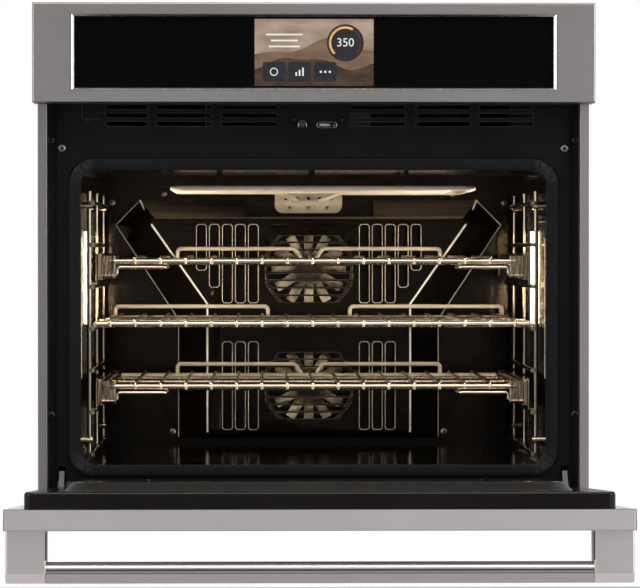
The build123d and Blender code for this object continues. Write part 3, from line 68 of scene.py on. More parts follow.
# Studio: floor, surround, and soft boxes as name, place, aim, size, power and colour
FLOOR_DROP = 0.18
FLOOR_X = 2.4
FLOOR_Y = (-2.6, 0.85)
FLOOR_GLOW = 0.05
FLOOR_TONES = (0.43, 0.47)
FRONT_DARK = 0.31
SIDE_LIGHT = 0.75
SIDE_TURN = (0.1, 0.8)
LEFT_SHARE = -0.55
FRONT_AIM = (0.0, -0.3, 0.3)
BACK_AIM = (0.0, 0.3, 0.3)
WHITE = (1.0, 1.0, 1.0)
SOFT_BOXES = (
    ("soft_top", (0.0, -1.6, 2.6), FRONT_AIM, (2.4, 1.6), 42.0, (1.0, 0.98, 0.96)),
    ("soft_left", (-2.4, -2.2, 1.2), FRONT_AIM, (1.2, 2.0), 26.0, WHITE),
    ("soft_right", (2.4, -2.2, 1.2), FRONT_AIM, (1.2, 2.0), 30.0, WHITE),
    ("soft_back", (0.0, 2.6, 1.6), BACK_AIM, (2.0, 1.2), 30.0, WHITE),
)

# Oven lamps and their lenses, which are brightest round one depth
WARM = (1.0, 0.86, 0.66)
LAMP_POWER = 4.8
LAMP_INSET = 0.008
LAMP_AIM_BACK = 0.12
LENS_PALE = (1.0, 0.92, 0.76, 1.0)
LENS_GLOW = 36.0
LENS_FACING = (0.4, 0.8)
LENS_CORE_Y = -0.139
LENS_CORE = (0.007, 0.018)
LENS_DIM = 0.06

# Finishes: where they change on the part, and their colours
AXIS_X, AXIS_Y, AXIS_Z = range(3)
NOISE_ENDS = (0.3, 0.7)
# Stainless faces whose normal looks further forward than this get a painted highlight
FORWARD_Y = -0.7
# Upward facing over which the cover's painted brown reflection fades in
GLOW_REFLECTION_FACING = (0.3, 0.6)
WARM_TINT = (1.0, 0.86, 0.72, 1.0)
PLAIN_TINT = (1.0, 1.0, 1.0, 1.0)
# Colour of the painted brown reflection of the broil element on the cover's upward slopes
COVER_GLOW_REFLECTION = (0.13, 0.10, 0.075)
SLIDE_DARK = (0.10, 0.075, 0.05, 1.0)
SLIDE_BRIGHT = (0.94, 0.78, 0.57, 1.0)
SLIDE_GREASE = (0.40, 0.31, 0.21, 1.0)
RACK_PLATE_X = 0.274
RACK_PLATE_DARK = (0.05, 0.036, 0.022, 1.0)
RACK_PLATE_BRIGHT = (0.72, 0.55, 0.36, 1.0)
RACK_COLOUR = (0.98, 0.83, 0.64)
# Rear stops of the racks: their pale, less metallic finish is a painted highlight
RACK_STOP_Y = 0.13
RACK_STOP_COLOUR = (0.76, 0.67, 0.53, 1.0)
RACK_STOP_METAL = 0.45
FAN_BROWN = (0.020, 0.036)
FAN_HUB = (0.045, 0.032, 0.022, 1.0)
FAN_STAIN = (0.10, 0.07, 0.045, 1.0)
FAN_PALE = (0.95, 0.86, 0.70, 1.0)
WOOL_TONES = ((0.42, 0.33, 0.16, 1.0), (0.72, 0.62, 0.38, 1.0))
SHEATH_TONES = ((0.66, 0.58, 0.48, 1.0), (0.90, 0.82, 0.70, 1.0))

# Handle bar: painted dark reflection lines, middle height and half height of each
BAR_REFLECTION_LINES = ((-0.0072, 0.0011), (-0.0109, 0.0004), (-0.0244, 0.0005))

# Softened edges and round sections
WELD_GAP = 1e-5
FLAT_ANGLE = radians(1.0)
EDGE_ANGLE = radians(35.0)
EDGE_STEPS = 2
BEAD_STEPS = 2
ROUND_SIDES = 20
ROUND = [(cos(tau * side / ROUND_SIDES), sin(tau * side / ROUND_SIDES)) for side in range(ROUND_SIDES)]

# Gasket round the opening: tube, waves along it as size, rate and twist or start, and its weave
GASKET_BAND = 0.0155
OPENING_R = 0.020
LINE_STEP = 0.004
CORNER_STEPS = 28
WRINKLES = ((0.0010, 1900.0, 2.0), (0.0007, 1130.0, -3.0))
WRINKLE_INSIDE = 0.4
WRINKLE_ACROSS = 0.5
SLACK = ((0.00025, 61.0, 0.0), (0.00025, 97.0, 1.0))
TUBE_ACROSS = 0.97
TUBE_STAND = 0.47
TUBE_CROWN = 0.0005
TUBE_SQUARE = (0.7, 0.8)
STRAND_SCALES = ((620.0, 20.0, 1.0), (620.0, -20.0, 1.0))
STRAND_WAVE = 0.32
RUB_SCALE = (900.0, 3.0, 1.0)

# Convection cover: slots, grilles and outline of its right half, as the CAD cover has them
SLOT_W = 0.015
SLOT_PITCH = 0.0195
SLOT_X = 0.0835
SLOT_CUT = 0.003
SLOT_TOP = 0.4136
SLOT_FEET = (0.2955, 0.2955, 0.2955, 0.319, 0.3447)
LOW_SLOT_Z = (0.1047, 0.237)
LOW_SLOTS = 3
FAN_Z = (0.34661, 0.17099)
GRILLE_ROWS = range(-4, 5)
GRILLE_PITCH = 0.0114
GRILLE_OPEN = 0.0092
GRILLE_HALF = 0.066
GRILLE_STRAIGHT = 0.024
GRILLE_SLOPE = 0.8
COVER_EDGE = ((0.236, 0.413), (0.1525, 0.294), (0.1525, 0.101))
COVER_FOOT_EDGE = ((0.255, 0.450), (0.292, 0.413), (0.197, 0.270), (0.197, 0.092))
SLOT_LIP = 0.0007
GRILLE_LIP = 0.0005
COVER_FOLD = 0.0018
COVER_FOLD_SINK = 0.001
COVER_FOOT = 0.0008

# Vent panel: slots, service tab, latch slot and switch arch
VENT_SPANS = (
    (-0.048, -0.126), (-0.137, -0.215), (-0.224, -0.283),
    (0.048, 0.126), (0.137, 0.215), (0.224, 0.300),
)
VENT_ROW_Z = 0.543
VENT_PITCH = 0.0113
VENT_ROWS = 3
VENT_SLOT_H = 0.0065
VENT_SLANT = 0.003
SLOT_EDGE = 0.00045
TAB_LINE = ((-0.314, 0.572), (-0.314, 0.553), (-0.289, 0.553))
LATCH_SLOT = (0.0045, 0.0316)
LATCH_Z = 0.545
LATCH_SLOT_R = 0.004
ARCH_R = 0.0052
ARCH_FOOT = 0.0035
ARCH_WIRE = 0.0006

# Control panel: slope of the bezel across and up, and its profile as share of the slope and depth
BEZEL_SLOPE = (0.006, 0.0045)
BEZEL_PROFILE = (
    (0.0, -0.0001), (0.36, -0.0001), (0.44, 0.0002),
    (0.93, 0.0024), (0.98, 0.0034), (1.0, 0.0080),
)
BEZEL_CREASE = radians(30.0)
GLASS_LIP = 0.0012

# Screen picture, from the screen's middle
SCREEN_HALF = (0.080, 0.045)
LAYER = 0.00006
FAR_DUNE = (0.006, 0.010, 2.6, 0.8)
NEAR_DUNE = (-0.014, 0.007, 3.4, 2.4)
DUNE_STEPS = 48
DUNE_RIPPLE = (0.4, 2.3)
TILE_X = (-0.054, -0.0195, 0.015)
TILE_Z = -0.026
TILE_SIZE = (0.030, 0.026, 0.003)
TILE_STEPS = 6
ARC_STEPS = 40
GAUGE_AT = (0.042, 0.013)
DIAL_SIZE = (0.050, 0.050, 0.025)
TRACK_ARC = (0.0195, 0.0215, -0.125, 0.625)
GAUGE_ARC = (0.0190, 0.0220, 0.17, 0.625)
GAUGE_NUMBER = "350"
NUMBER_SIZE = 0.016
RING_ARC = (0.0042, 0.0054, 0.0, 1.0)
COLUMN_HEIGHTS = (0.005, 0.008, 0.011)
COLUMN_PITCH = 0.0045
COLUMN_DROP = 0.0055
COLUMN_W = 0.0022
COLUMN_R = 0.0005
DOT_PITCH = 0.006
DOT_SIZE = (0.003, 0.003, 0.0014)
BAR_X = -0.040
BARS = ((0.024, 0.050), (0.016, 0.036), (0.008, 0.042))
BAR_H = 0.0022
BAR_R = 0.001

# Rear: pleated near-black sheet behind the louvres, painted shade of the bay seen through the vents, and
# gland membrane
SHADE_SHEET_GAP = 0.0035
SHADE_SHEET_X = 0.310
SHADE_SHEET_Z = (0.556, 0.690)
SHADE_SHEET_FOLDS = 140
SHADE_SHEET_PLEAT = 0.006
MEMBRANE_R = 0.0092
MEMBRANE_IN = 0.006
MEMBRANE_DOME = 0.003
MEMBRANE_RINGS = (1.0, 0.8, 0.5, 0.01)

# Screw and rivet heads: radius and height, places across and up, and cross recess as shares of the radius
HEAD = (0.0055, 0.0026)
SMALL_HEAD = (0.0026, 0.0015)
RIVET_HEAD = (0.0034, 0.0016)
HEAD_PROFILE = ((1.0, 0.0), (1.0, 0.3), (0.93, 0.55), (0.75, 0.82), (0.45, 0.96), (0.02, 1.0))
CROSS_HALF = 0.13
CROSS_REACH = 0.58
VENT_SCREWS = ((-0.3415, 0.513), (0.3415, 0.513))
SMALL_SCREWS = ((-0.026, 0.552), (0.038, 0.552), (-0.306, 0.552))
WALL_SCREWS = ((0.298, 0.447), (0.219, 0.461), (0.206, 0.099))
MOUNT_SCREWS = ((0.3565, 0.150), (0.3565, 0.524))
RIVETS = ((-0.028, 0.439), (0.0, 0.439), (0.028, 0.439))
TERMINAL_T = 0.002

# Door: opening angle at rest, hinge axis, and the raised middle of its inner side
DOOR_OPEN = radians(86.5)
HINGE_Y = -0.317
HINGE_Z = 0.044
PLUG_HALF = 0.3025
PLUG_V = (0.054, 0.424)
PLUG_R = 0.025
RIM_W = -0.0107
SKIRT = (
    (0.011, 0.0), (0.010, 0.0005), (0.008, 0.0022), (0.005, 0.005),
    (0.002, 0.008), (-0.0005, 0.0102), (-0.003, 0.0112), (-0.005, 0.0112),
)

# Painted shade hairlines along folded edges: door's top edge and handle caps, and a painted glint along the
# cavity's front lip
HAIRLINE = 0.0007
STRIP_HALF = 0.3768
STRIP_V = 0.5244
STRIP_W = (0.0104, 0.0351)
CAP_INSIDE = 0.3276
CAP_V = 0.513
CAP_W = (0.037, 0.071)
LIP_X = 0.3160
LIP_Y = -0.288
LIP_Z = (0.20, 0.39)


class Nodes:
    """Node tree, with short calls for the nodes used here."""

    def __init__(self, tree):
        self.tree = tree

    def node(self, kind, inputs, **settings):
        """New node with its settings, and its inputs set or linked."""
        made = self.tree.nodes.new("ShaderNode" + kind)
        for key, value in settings.items():
            setattr(made, key, value)
        for key, value in inputs.items():
            if isinstance(value, bpy.types.NodeSocket):
                self.tree.links.new(value, made.inputs[key])
            else:
                made.inputs[key].default_value = value
        return made

    def calc(self, operation, *values, **settings):
        """One step of arithmetic on numbers or sockets."""
        return self.node("Math", dict(enumerate(values)), operation=operation, **settings).outputs[0]

    def part(self, vector, axis):
        """One number of a vector."""
        return self.node("SeparateXYZ", {"Vector": vector}).outputs[axis]

    def ramp(self, value, ends, low, high, **settings):
        """Number carried from between two ends to a new range, and kept in it."""
        start, end = ends
        inputs = {"Value": value, "From Min": start, "From Max": end, "To Min": low, "To Max": high}
        return self.node("MapRange", inputs, **settings).outputs[0]

    def mix(self, factor, first, second):
        """Blend of two colours."""
        return self.node("Mix", {0: factor, 6: first, 7: second}, data_type="RGBA").outputs[2]


class Graph(Nodes):
    """Node graph of one material, with uniform values on its shader's own sockets."""

    def __init__(self, name, sockets):
        self.material = bpy.data.materials.new(name)
        self.material.use_nodes = True
        super().__init__(self.material.node_tree)
        self.shader = self.tree.nodes["Principled BSDF"]
        for socket, value in sockets.items():
            self.shader.inputs[socket].default_value = value

    def normal(self):
        """Direction that the object's surface faces."""
        return self.node("TexCoord", {}).outputs["Normal"]

    def place(self, scale=(1.0, 1.0, 1.0)):
        """Place on the object in metres, times a scale for each axis."""
        spot = self.node("TexCoord", {}).outputs["Object"]
        return self.node("Mapping", {"Vector": spot, "Scale": scale}).outputs[0]

    def noise(self, vector, scale, detail):
        """Soft noise from 0 to 1."""
        return self.node("TexNoise", {"Vector": vector, "Scale": scale, "Detail": detail}).outputs[0]

    def streaks(self, scale, detail):
        """Noise drawn out by a scale for each axis."""
        return self.noise(self.place(scale), 1.0, detail)

    def span(self, value, low, high):
        """Noise value spread over a range."""
        return self.ramp(value, NOISE_ENDS, low, high)

    def link(self, value, socket):
        """Feeds a socket of the shader."""
        self.tree.links.new(value, self.shader.inputs[socket])

    def bump(self, height, strength, distance):
        """Small relief on the surface."""
        ends = {"Height": height, "Strength": strength, "Distance": distance}
        self.link(self.node("Bump", ends).outputs[0], "Normal")

    def coat(self, tone, rough):
        """Feeds the shader's colour and roughness, and gives the material."""
        self.link(tone, "Base Color")
        self.link(rough, "Roughness")
        return self.material


def grey(value, warmth=0.0):
    """Colour of a brightness, with a little more red than blue."""
    return (value * (1 + warmth), value, value * (1 - warmth), 1.0)


def steel_grey(value):
    """Slightly rosy grey of the brushed steel."""
    return (value * 1.05, value * 0.98, value * 0.98, 1.0)


def shade(colour, share=1.0):
    """Opaque colour at a share of its brightness."""
    return tuple(channel * share for channel in colour) + (1.0,)


def stainless(name, brush, level, lines=(), edge=None):
    """Brushed stainless steel: hair lines along an axis, slow clouds, painted dark reflection lines, and a
    brighter tone painted as highlight on faces that look forward.
    """
    graph = Graph(name, {"Metallic": 1.0})
    fine = graph.streaks([24.0 if axis == brush else 1600.0 for axis in range(3)], detail=2.0)
    broad = graph.streaks([4.0 if axis == brush else 11.0 for axis in range(3)], detail=3.0)
    cloud = graph.span(broad, 0.0, 0.25)
    tones = []
    for share in (level, edge or level):
        hair = graph.mix(fine, steel_grey(share * 0.96), steel_grey(share * 1.03))
        tones.append(graph.mix(cloud, hair, steel_grey(share * 0.92)))
    # Faces that look forward take the brighter edge tone: a painted highlight.
    forward = graph.calc("LESS_THAN", graph.part(graph.normal(), "Y"), FORWARD_Y)
    tone = graph.mix(forward, *tones)
    height = graph.part(graph.place(), "Z")
    # Dark bands at the listed heights: painted reflection lines.
    for middle, half in lines:
        inside = graph.calc("COMPARE", height, middle, half)
        tone = graph.mix(inside, tone, steel_grey(level * 0.22))
    graph.bump(fine, strength=0.03, distance=0.0001)
    return graph.coat(tone, graph.span(broad, 0.29, 0.35))


def enamel(name, level, peel, rough, gloss, tint=PLAIN_TINT, glow_reflection=None):
    """Black porcelain enamel: ripple of a fired coat, fine speckle, and a painted brown reflection of the
    broil element where it faces up.
    """
    graph = Graph(name, {"Specular IOR Level": gloss, "Specular Tint": tint})
    spot = graph.place()
    ripple = graph.noise(spot, scale=210.0, detail=1.5)
    speck = graph.noise(spot, scale=1400.0, detail=1.0)
    cloud = graph.noise(spot, scale=9.0, detail=3.0)
    tone = graph.mix(graph.span(cloud, 0.0, 1.0), grey(level * 0.7, 0.20), grey(level * 1.5, 0.30))
    tone = graph.mix(graph.span(speck, -0.9, 0.30), tone, grey(level * 4.0, 0.15))
    # Where it faces up: a painted reflection of the broil element, streaked along the width.
    if glow_reflection:
        normal = graph.normal()
        aside = graph.calc("ABSOLUTE", graph.part(normal, "X"))
        up = graph.calc("SUBTRACT", graph.part(normal, "Z"), aside)
        streak = graph.span(graph.streaks((4.0, 90.0, 90.0), detail=3.0), 0.0, 1.0)
        brown = graph.mix(streak, shade(glow_reflection, 0.4), shade(glow_reflection))
        tone = graph.mix(graph.ramp(up, GLOW_REFLECTION_FACING, 0.0, 1.0), tone, brown)
    graph.bump(ripple, strength=peel, distance=0.0012)
    return graph.coat(tone, graph.span(cloud, rough * 0.8, rough * 1.3))


def paint(name, level, rough):
    """Baked satin paint on sheet: fine grain and faint rubbed patches."""
    graph = Graph(name, {"Specular IOR Level": 0.11})
    spot = graph.place()
    grain = graph.noise(spot, scale=1900.0, detail=2.0)
    cloud = graph.noise(spot, scale=14.0, detail=3.0)
    tone = graph.mix(cloud, grey(level * 0.8, 0.02), grey(level * 1.3, 0.02))
    graph.bump(grain, strength=0.10, distance=0.0002)
    return graph.coat(tone, graph.span(cloud, rough * 0.85, rough * 1.2))


def rolled(name):
    """Bright rolled steel: warm, with dark drawing lines across its width and smears of grease."""
    graph = Graph(name, {"Metallic": 1.0})
    lines = graph.streaks((420.0, 6.0, 30.0), detail=2.0)
    smear = graph.noise(graph.place(), scale=45.0, detail=3.0)
    tone = graph.mix(graph.span(lines, 0.0, 1.0), SLIDE_DARK, SLIDE_BRIGHT)
    tone = graph.mix(graph.span(smear, 0.0, 0.5), tone, SLIDE_GREASE)
    graph.bump(lines, strength=0.15, distance=0.0004)
    return graph.coat(tone, graph.span(smear, 0.08, 0.20))


def plated(name, colour, rough, metal=1.0, drawn=None, highlight_behind=None):
    """Plated or bare steel, a little tarnished: drawing lines far aside, and behind a depth a paler, less
    metallic finish that the lamps light brighter, a painted highlight.
    """
    graph = Graph(name, {"Metallic": metal})
    spot = graph.place()
    tarnish = graph.noise(spot, scale=34.0, detail=4.0)
    marks = graph.noise(spot, scale=700.0, detail=2.0)
    tone = graph.mix(graph.span(tarnish, 0.0, 0.8), shade(colour), shade(colour, 0.72))
    if drawn:
        aside = graph.calc("ABSOLUTE", graph.part(spot, "X"))
        lines = graph.span(graph.streaks((420.0, 6.0, 60.0), detail=3.0), 0.0, 1.0)
        plate = graph.mix(lines, RACK_PLATE_DARK, RACK_PLATE_BRIGHT)
        tone = graph.mix(graph.calc("GREATER_THAN", aside, drawn), tone, plate)
    # Behind this depth: a pale, less metallic finish, a painted highlight on the rear stops.
    if highlight_behind:
        behind = graph.calc("GREATER_THAN", graph.part(spot, "Y"), highlight_behind)
        tone = graph.mix(behind, tone, RACK_STOP_COLOUR)
        graph.link(graph.ramp(behind, (0.0, 1.0), metal, RACK_STOP_METAL), "Metallic")
    graph.bump(marks, strength=0.06, distance=0.0002)
    return graph.coat(tone, graph.span(marks, rough * 0.7, rough * 1.4))


def fan_sheet(name, axis_z):
    """Aluminised fan sheet, browned by heat and grease towards its hub."""
    graph = Graph(name, {"Metallic": 0.3})
    spot = graph.node("TexCoord", {}).outputs["Object"]
    shift = graph.node("VectorMath", {0: spot, 1: (0.0, 0.0, -axis_z)}, operation="ADD").outputs[0]
    flat = graph.node("VectorMath", {0: shift, 1: (1.0, 0.0, 1.0)}, operation="MULTIPLY").outputs[0]
    reach = graph.node("VectorMath", {0: flat}, operation="LENGTH").outputs["Value"]
    stain = graph.noise(graph.place(), scale=34.0, detail=4.0)
    pale = graph.mix(graph.span(stain, 0.0, 1.0), FAN_STAIN, FAN_PALE)
    tone = graph.mix(graph.ramp(reach, FAN_BROWN, 0.0, 1.0), FAN_HUB, pale)
    graph.bump(stain, strength=0.05, distance=0.0004)
    return graph.coat(tone, graph.span(stain, 0.34, 0.50))


def zinc_sheet(name):
    """Hot-dip galvanised sheet with its spangle."""
    graph = Graph(name, {"Metallic": 1.0})
    spot = graph.place()
    cells = graph.node("TexVoronoi", {"Vector": spot, "Scale": 150.0})
    cloud = graph.noise(spot, scale=11.0, detail=3.0)
    tone = graph.node("SeparateColor", {"Color": cells.outputs["Color"]}).outputs[0]
    tone = graph.mix(tone, grey(0.47, -0.02), grey(0.55, -0.02))
    tone = graph.mix(graph.span(cloud, 0.0, 0.4), tone, grey(0.40))
    graph.bump(cells.outputs["Distance"], strength=0.05, distance=0.0004)
    return graph.coat(tone, graph.span(cloud, 0.32, 0.50))


def dark_glass(name, level, rough):
    """Black-backed glass: near black, with faint haze and smears in its gloss."""
    graph = Graph(name, {"Specular IOR Level": 0.06, "IOR": 1.5})
    haze = graph.noise(graph.place(), scale=16.0, detail=4.0)
    tone = graph.mix(haze, grey(level * 0.7, -0.05), grey(level * 1.4, -0.05))
    return graph.coat(tone, graph.span(haze, rough * 0.6, rough * 1.8))


def lit_lens(name):
    """Frosted lamp cover lit from behind, on its faces that look across and round its core."""
    graph = Graph(name, {"Transmission Weight": 0.4, "Roughness": 0.5})
    spot = graph.place()
    waves = {"Vector": spot, "Scale": 60.0, "Distortion": 0.4}
    ribs = graph.node("TexWave", waves, bands_direction="Y").outputs["Fac"]
    glow = graph.mix(ribs, shade(WARM), LENS_PALE)
    graph.link(glow, "Base Color")
    graph.link(glow, "Emission Color")
    broad = graph.calc("ABSOLUTE", graph.part(graph.normal(), "X"))
    away = graph.calc("ABSOLUTE", graph.calc("SUBTRACT", graph.part(spot, "Y"), LENS_CORE_Y))
    lit = graph.ramp(broad, LENS_FACING, 0.0, LENS_GLOW)
    core = graph.ramp(away, LENS_CORE, 1.0, LENS_DIM)
    graph.link(graph.calc("MULTIPLY", lit, core), "Emission Strength")
    graph.bump(ribs, strength=0.3, distance=0.001)
    return graph.material


def moulded(name, colour, rough):
    """Moulded plastic or resin board with a fine mould texture."""
    graph = Graph(name, {})
    spot = graph.place()
    cloud = graph.noise(spot, scale=40.0, detail=3.0)
    grain = graph.noise(spot, scale=1500.0, detail=2.0)
    tone = graph.mix(cloud, shade(colour, 0.75), shade(colour))
    graph.bump(grain, strength=0.15, distance=0.0002)
    return graph.coat(tone, graph.span(grain, rough * 0.8, rough * 1.2))


def wool(name):
    """Mineral wool: matted yellowish fibre."""
    graph = Graph(name, {"Roughness": 0.95, "Sheen Weight": 0.3})
    fibre = graph.streaks((90.0, 90.0, 500.0), detail=5.0)
    graph.link(graph.mix(fibre, *WOOL_TONES), "Base Color")
    graph.bump(fibre, strength=0.8, distance=0.002)
    return graph.material


def heater_sheath(name):
    """Oxidised heating tube: matt, grey-brown, mottled by heat."""
    graph = Graph(name, {"Metallic": 0.35})
    spot = graph.place()
    oxide = graph.noise(spot, scale=60.0, detail=4.0)
    grain = graph.noise(spot, scale=900.0, detail=2.0)
    graph.bump(grain, strength=0.2, distance=0.0003)
    return graph.coat(graph.mix(oxide, *SHEATH_TONES), graph.span(grain, 0.40, 0.60))


def braid(name):
    """Knitted glass-fibre tube: crossing strands, dusty charcoal, rubbed pale at its bends."""
    graph = Graph(name, {"Roughness": 0.85, "Specular IOR Level": 0.12, "Sheen Weight": 0.04})
    spot = graph.node("UVMap", {}, uv_map="weave").outputs[0]
    heights = []
    for scale in STRAND_SCALES:
        strands = graph.node("Mapping", {"Vector": spot, "Scale": scale}).outputs[0]
        waves = {"Vector": strands, "Scale": STRAND_WAVE}
        heights.append(graph.node("TexWave", waves, bands_direction="DIAGONAL").outputs["Fac"])
    crossing = graph.calc("MAXIMUM", *heights)
    fuzz = graph.noise(graph.place(), scale=700.0, detail=3.0)
    tone = graph.mix(crossing, grey(0.002, -0.10), grey(0.009, -0.10))
    tone = graph.mix(graph.span(fuzz, 0.0, 0.5), tone, grey(0.014, -0.10))
    stretch = graph.node("Mapping", {"Vector": spot, "Scale": RUB_SCALE}).outputs[0]
    rubs = graph.span(graph.noise(stretch, scale=1.0, detail=2.0), -0.5, 0.9)
    bend = graph.part(graph.node("UVMap", {}, uv_map="bend").outputs[0], "X")
    rubbed = graph.calc("MULTIPLY", rubs, bend, use_clamp=True)
    graph.link(graph.mix(rubbed, tone, grey(0.07, -0.06)), "Base Color")
    graph.bump(crossing, strength=0.7, distance=0.0008)
    return graph.material


def screw_metal(name, colour):
    """Screw head with a near-black painted cross, painted shade of a cross recess that is not modelled."""
    graph = Graph(name, {"Metallic": 1.0})
    spot = graph.node("UVMap", {}, uv_map="head").outputs[0]
    across, up = [graph.calc("ABSOLUTE", graph.part(spot, axis)) for axis in "XY"]
    thin = graph.calc("LESS_THAN", graph.calc("MINIMUM", across, up), CROSS_HALF)
    short = graph.calc("LESS_THAN", graph.calc("MAXIMUM", across, up), CROSS_REACH)
    wear = graph.noise(graph.place(), scale=900.0, detail=3.0)
    tone = graph.mix(wear, shade(colour, 0.7), shade(colour))
    # Near-black cross: painted shade of the recess.
    tone = graph.mix(graph.calc("MULTIPLY", thin, short), tone, grey(0.01))
    return graph.coat(tone, graph.span(wear, 0.22, 0.38))


def screen_glow(name, first, second, scale):
    """Lit part of the screen: two tones that drift into each other."""
    black = {"Base Color": grey(0.005), "Roughness": 0.25, "Specular IOR Level": 0.1}
    graph = Graph(name, {**black, "Emission Strength": 1.0})
    drift = graph.noise(graph.place((1.0, 1.0, 2.5)), scale, detail=2.0)
    graph.link(graph.mix(graph.span(drift, 0.0, 1.0), shade(first), shade(second)), "Emission Color")
    return graph.material


def floor_white(name):
    """Matt pale floor with a faint glow."""
    graph = Graph(name, {"Emission Strength": FLOOR_GLOW})
    cloud = graph.noise(graph.place(), scale=3.0, detail=2.0)
    tone = graph.mix(cloud, *[grey(level) for level in FLOOR_TONES])
    graph.link(tone, "Emission Color")
    return graph.coat(tone, graph.span(cloud, 0.75, 0.85))


def dress(material, *names):
    """Gives CAD nodes their finish."""
    for name in names:
        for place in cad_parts[name].material_slots:
            place.material = material


def dress_front():
    """Finishes of the panel, door, handle, trims and frame."""
    dress(stainless("panel_steel", AXIS_X, level=0.50), "control_panel_frame")
    # Door and caps: their edge level is a painted highlight on the faces that look forward.
    dress(stainless("door_steel", AXIS_X, level=0.58, edge=0.98), "door_skin")
    dress(stainless("cap_steel", AXIS_X, level=0.64, edge=0.92), "left_handle_cap", "right_handle_cap")
    # The handle bar's dark lines are painted reflections.
    dress(stainless("bar_steel", AXIS_X, level=0.62, lines=BAR_REFLECTION_LINES), "handle_bar")
    # The two trims are one steel; the left one's lower level is painted shade, a darker copy of the right.
    dress(stainless("left_trim_shaded_steel", AXIS_Z, level=0.41), "left_side_trim")
    dress(stainless("right_trim_steel", AXIS_Z, level=0.52), "right_side_trim")
    dress(enamel("door_enamel", level=0.004, peel=0.06, rough=0.12, gloss=0.27), "door_inner_panel")
    dress(paint("frame_paint", level=0.0055, rough=0.40), "front_frame", "vent_panel")
    dress(dark_glass("panel_glass", level=0.0016, rough=0.05), "control_glass")
    dress(dark_glass("window_glass", level=0.006, rough=0.04), "door_outer_glass", "door_inner_glass")
    dress(plated("latch_steel", (0.13, 0.13, 0.13), rough=0.36), "latch_hook")
    dress(plated("hinge_steel", (0.06, 0.06, 0.06), rough=0.22), "left_hinge_arm", "right_hinge_arm")
    dress(plated("bracket_steel", (0.52, 0.51, 0.50), rough=0.38), "left_door_hinge", "right_door_hinge")
    dress(plated("screw_black", (0.10, 0.10, 0.10), rough=0.36), "screws")
    dress(moulded("screen_body", (0.02, 0.02, 0.02), rough=0.3), "display")
    dress(moulded("gasket_core", (0.02, 0.02, 0.02), rough=0.8), "door_gasket")


def dress_cavity():
    """Finishes of the cavity's walls, racks, slides, fans, heaters and lamps."""
    coat = {"level": 0.0026, "peel": 0.14, "rough": 0.10, "tint": WARM_TINT}
    dress(enamel("cavity_enamel", gloss=0.21, **coat), "cavity_liner", "broil_hangers")
    # The cover's upward slopes get a painted brown reflection.
    dress(enamel("cover_enamel", gloss=0.18, glow_reflection=COVER_GLOW_REFLECTION, **coat), "convection_cover")
    dress(plated("rack_nickel", RACK_COLOUR, rough=0.20, highlight_behind=RACK_STOP_Y), "middle_rack")
    running = plated("runner_nickel", RACK_COLOUR, rough=0.20, drawn=RACK_PLATE_X, highlight_behind=RACK_STOP_Y)
    dress(running, "upper_rack", "lower_rack")
    dress(plated("ladder_nickel", (0.50, 0.42, 0.32), rough=0.08), "left_rack_support", "right_rack_support")
    dress(
        rolled("slide_steel"),
        "upper_slide_rails", "upper_slide_carriers", "lower_slide_rails", "lower_slide_carriers",
    )
    for name, axis_z in zip(("upper_fan", "lower_fan"), FAN_Z):
        dress(fan_sheet(name + "_steel", axis_z), name)
    dress(plated("pin_zinc", (0.40, 0.40, 0.39), rough=0.22), "hinge_pins", "probe_jack")
    dress(plated("terminal_steel", (0.60, 0.53, 0.43), rough=0.36, metal=0.3), "broil_terminal_plate")
    dress(heater_sheath("element_sheath"), "broil_element", "bake_element")
    dress(moulded("ring_sheath", (0.05, 0.045, 0.04), rough=0.5), "convection_elements")
    dress(lit_lens("lamp_glass"), "lamp_lenses", "lamp_bulbs")


def dress_chassis():
    """Finishes of the sheet casing and what it holds."""
    dress(
        zinc_sheet("chassis_zinc"),
        "base_pan", "left_side_panel", "right_side_panel", "rear_panel", "top_cover", "bay_floor",
        "lamp_housings", "blower_housing",
    )
    dress(wool("mineral_wool"), "insulation", "door_insulation")
    dress(
        moulded("motor_black", (0.03, 0.03, 0.032), rough=0.5),
        "blower_motor", "convection_motors", "cable_gland", "latch_body",
    )
    dress(moulded("wheel_black", (0.04, 0.04, 0.042), rough=0.45), "blower_wheel", "door_switch_plunger")
    dress(moulded("board_green", (0.02, 0.10, 0.05), rough=0.4), "control_board")


def add_piece(name, mesh, material, body):
    """Puts a new piece in the scene, on its body."""
    piece = bpy.data.objects.new(name, mesh)
    bpy.context.scene.collection.objects.link(piece)
    mesh.materials.append(material)
    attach(piece, body)
    return piece


def soften(width, *names):
    """Small rounded edges on CAD nodes, so that they catch the light."""
    for name in names:
        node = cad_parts[name]
        node.modifiers.new("join", "WELD").merge_threshold = WELD_GAP
        flat = node.modifiers.new("faces", "DECIMATE")
        flat.decimate_type = "DISSOLVE"
        flat.angle_limit = FLAT_ANGLE
        edge = node.modifiers.new("edges", "BEVEL")
        edge.width = width
        edge.segments = EDGE_STEPS
        edge.limit_method = "ANGLE"
        edge.angle_limit = EDGE_ANGLE
        edge.harden_normals = True


def middle_of(name):
    """Middle of a CAD node's box, across and up."""
    low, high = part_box(name)
    return (low[0] + high[0]) / 2, (low[2] + high[2]) / 2


def build_mesh(name, points, faces):
    """New mesh of points and faces."""
    mesh = bpy.data.meshes.new(name)
    mesh.from_pydata(points, [], faces)
    return mesh


def loft(name, rings, closed_section):
    """Skin over rings of points, the last ring joined to the first."""
    sides = len(rings[0])
    spans = sides if closed_section else sides - 1
    faces = []
    for ring in range(len(rings)):
        here = ring * sides
        there = (ring + 1) % len(rings) * sides
        for side in range(spans):
            after = (side + 1) % sides
            faces.append((here + side, there + side, there + after, here + after))
    mesh = build_mesh(name, [point for ring in rings for point in ring], faces)
    mesh.shade_smooth()
    return mesh


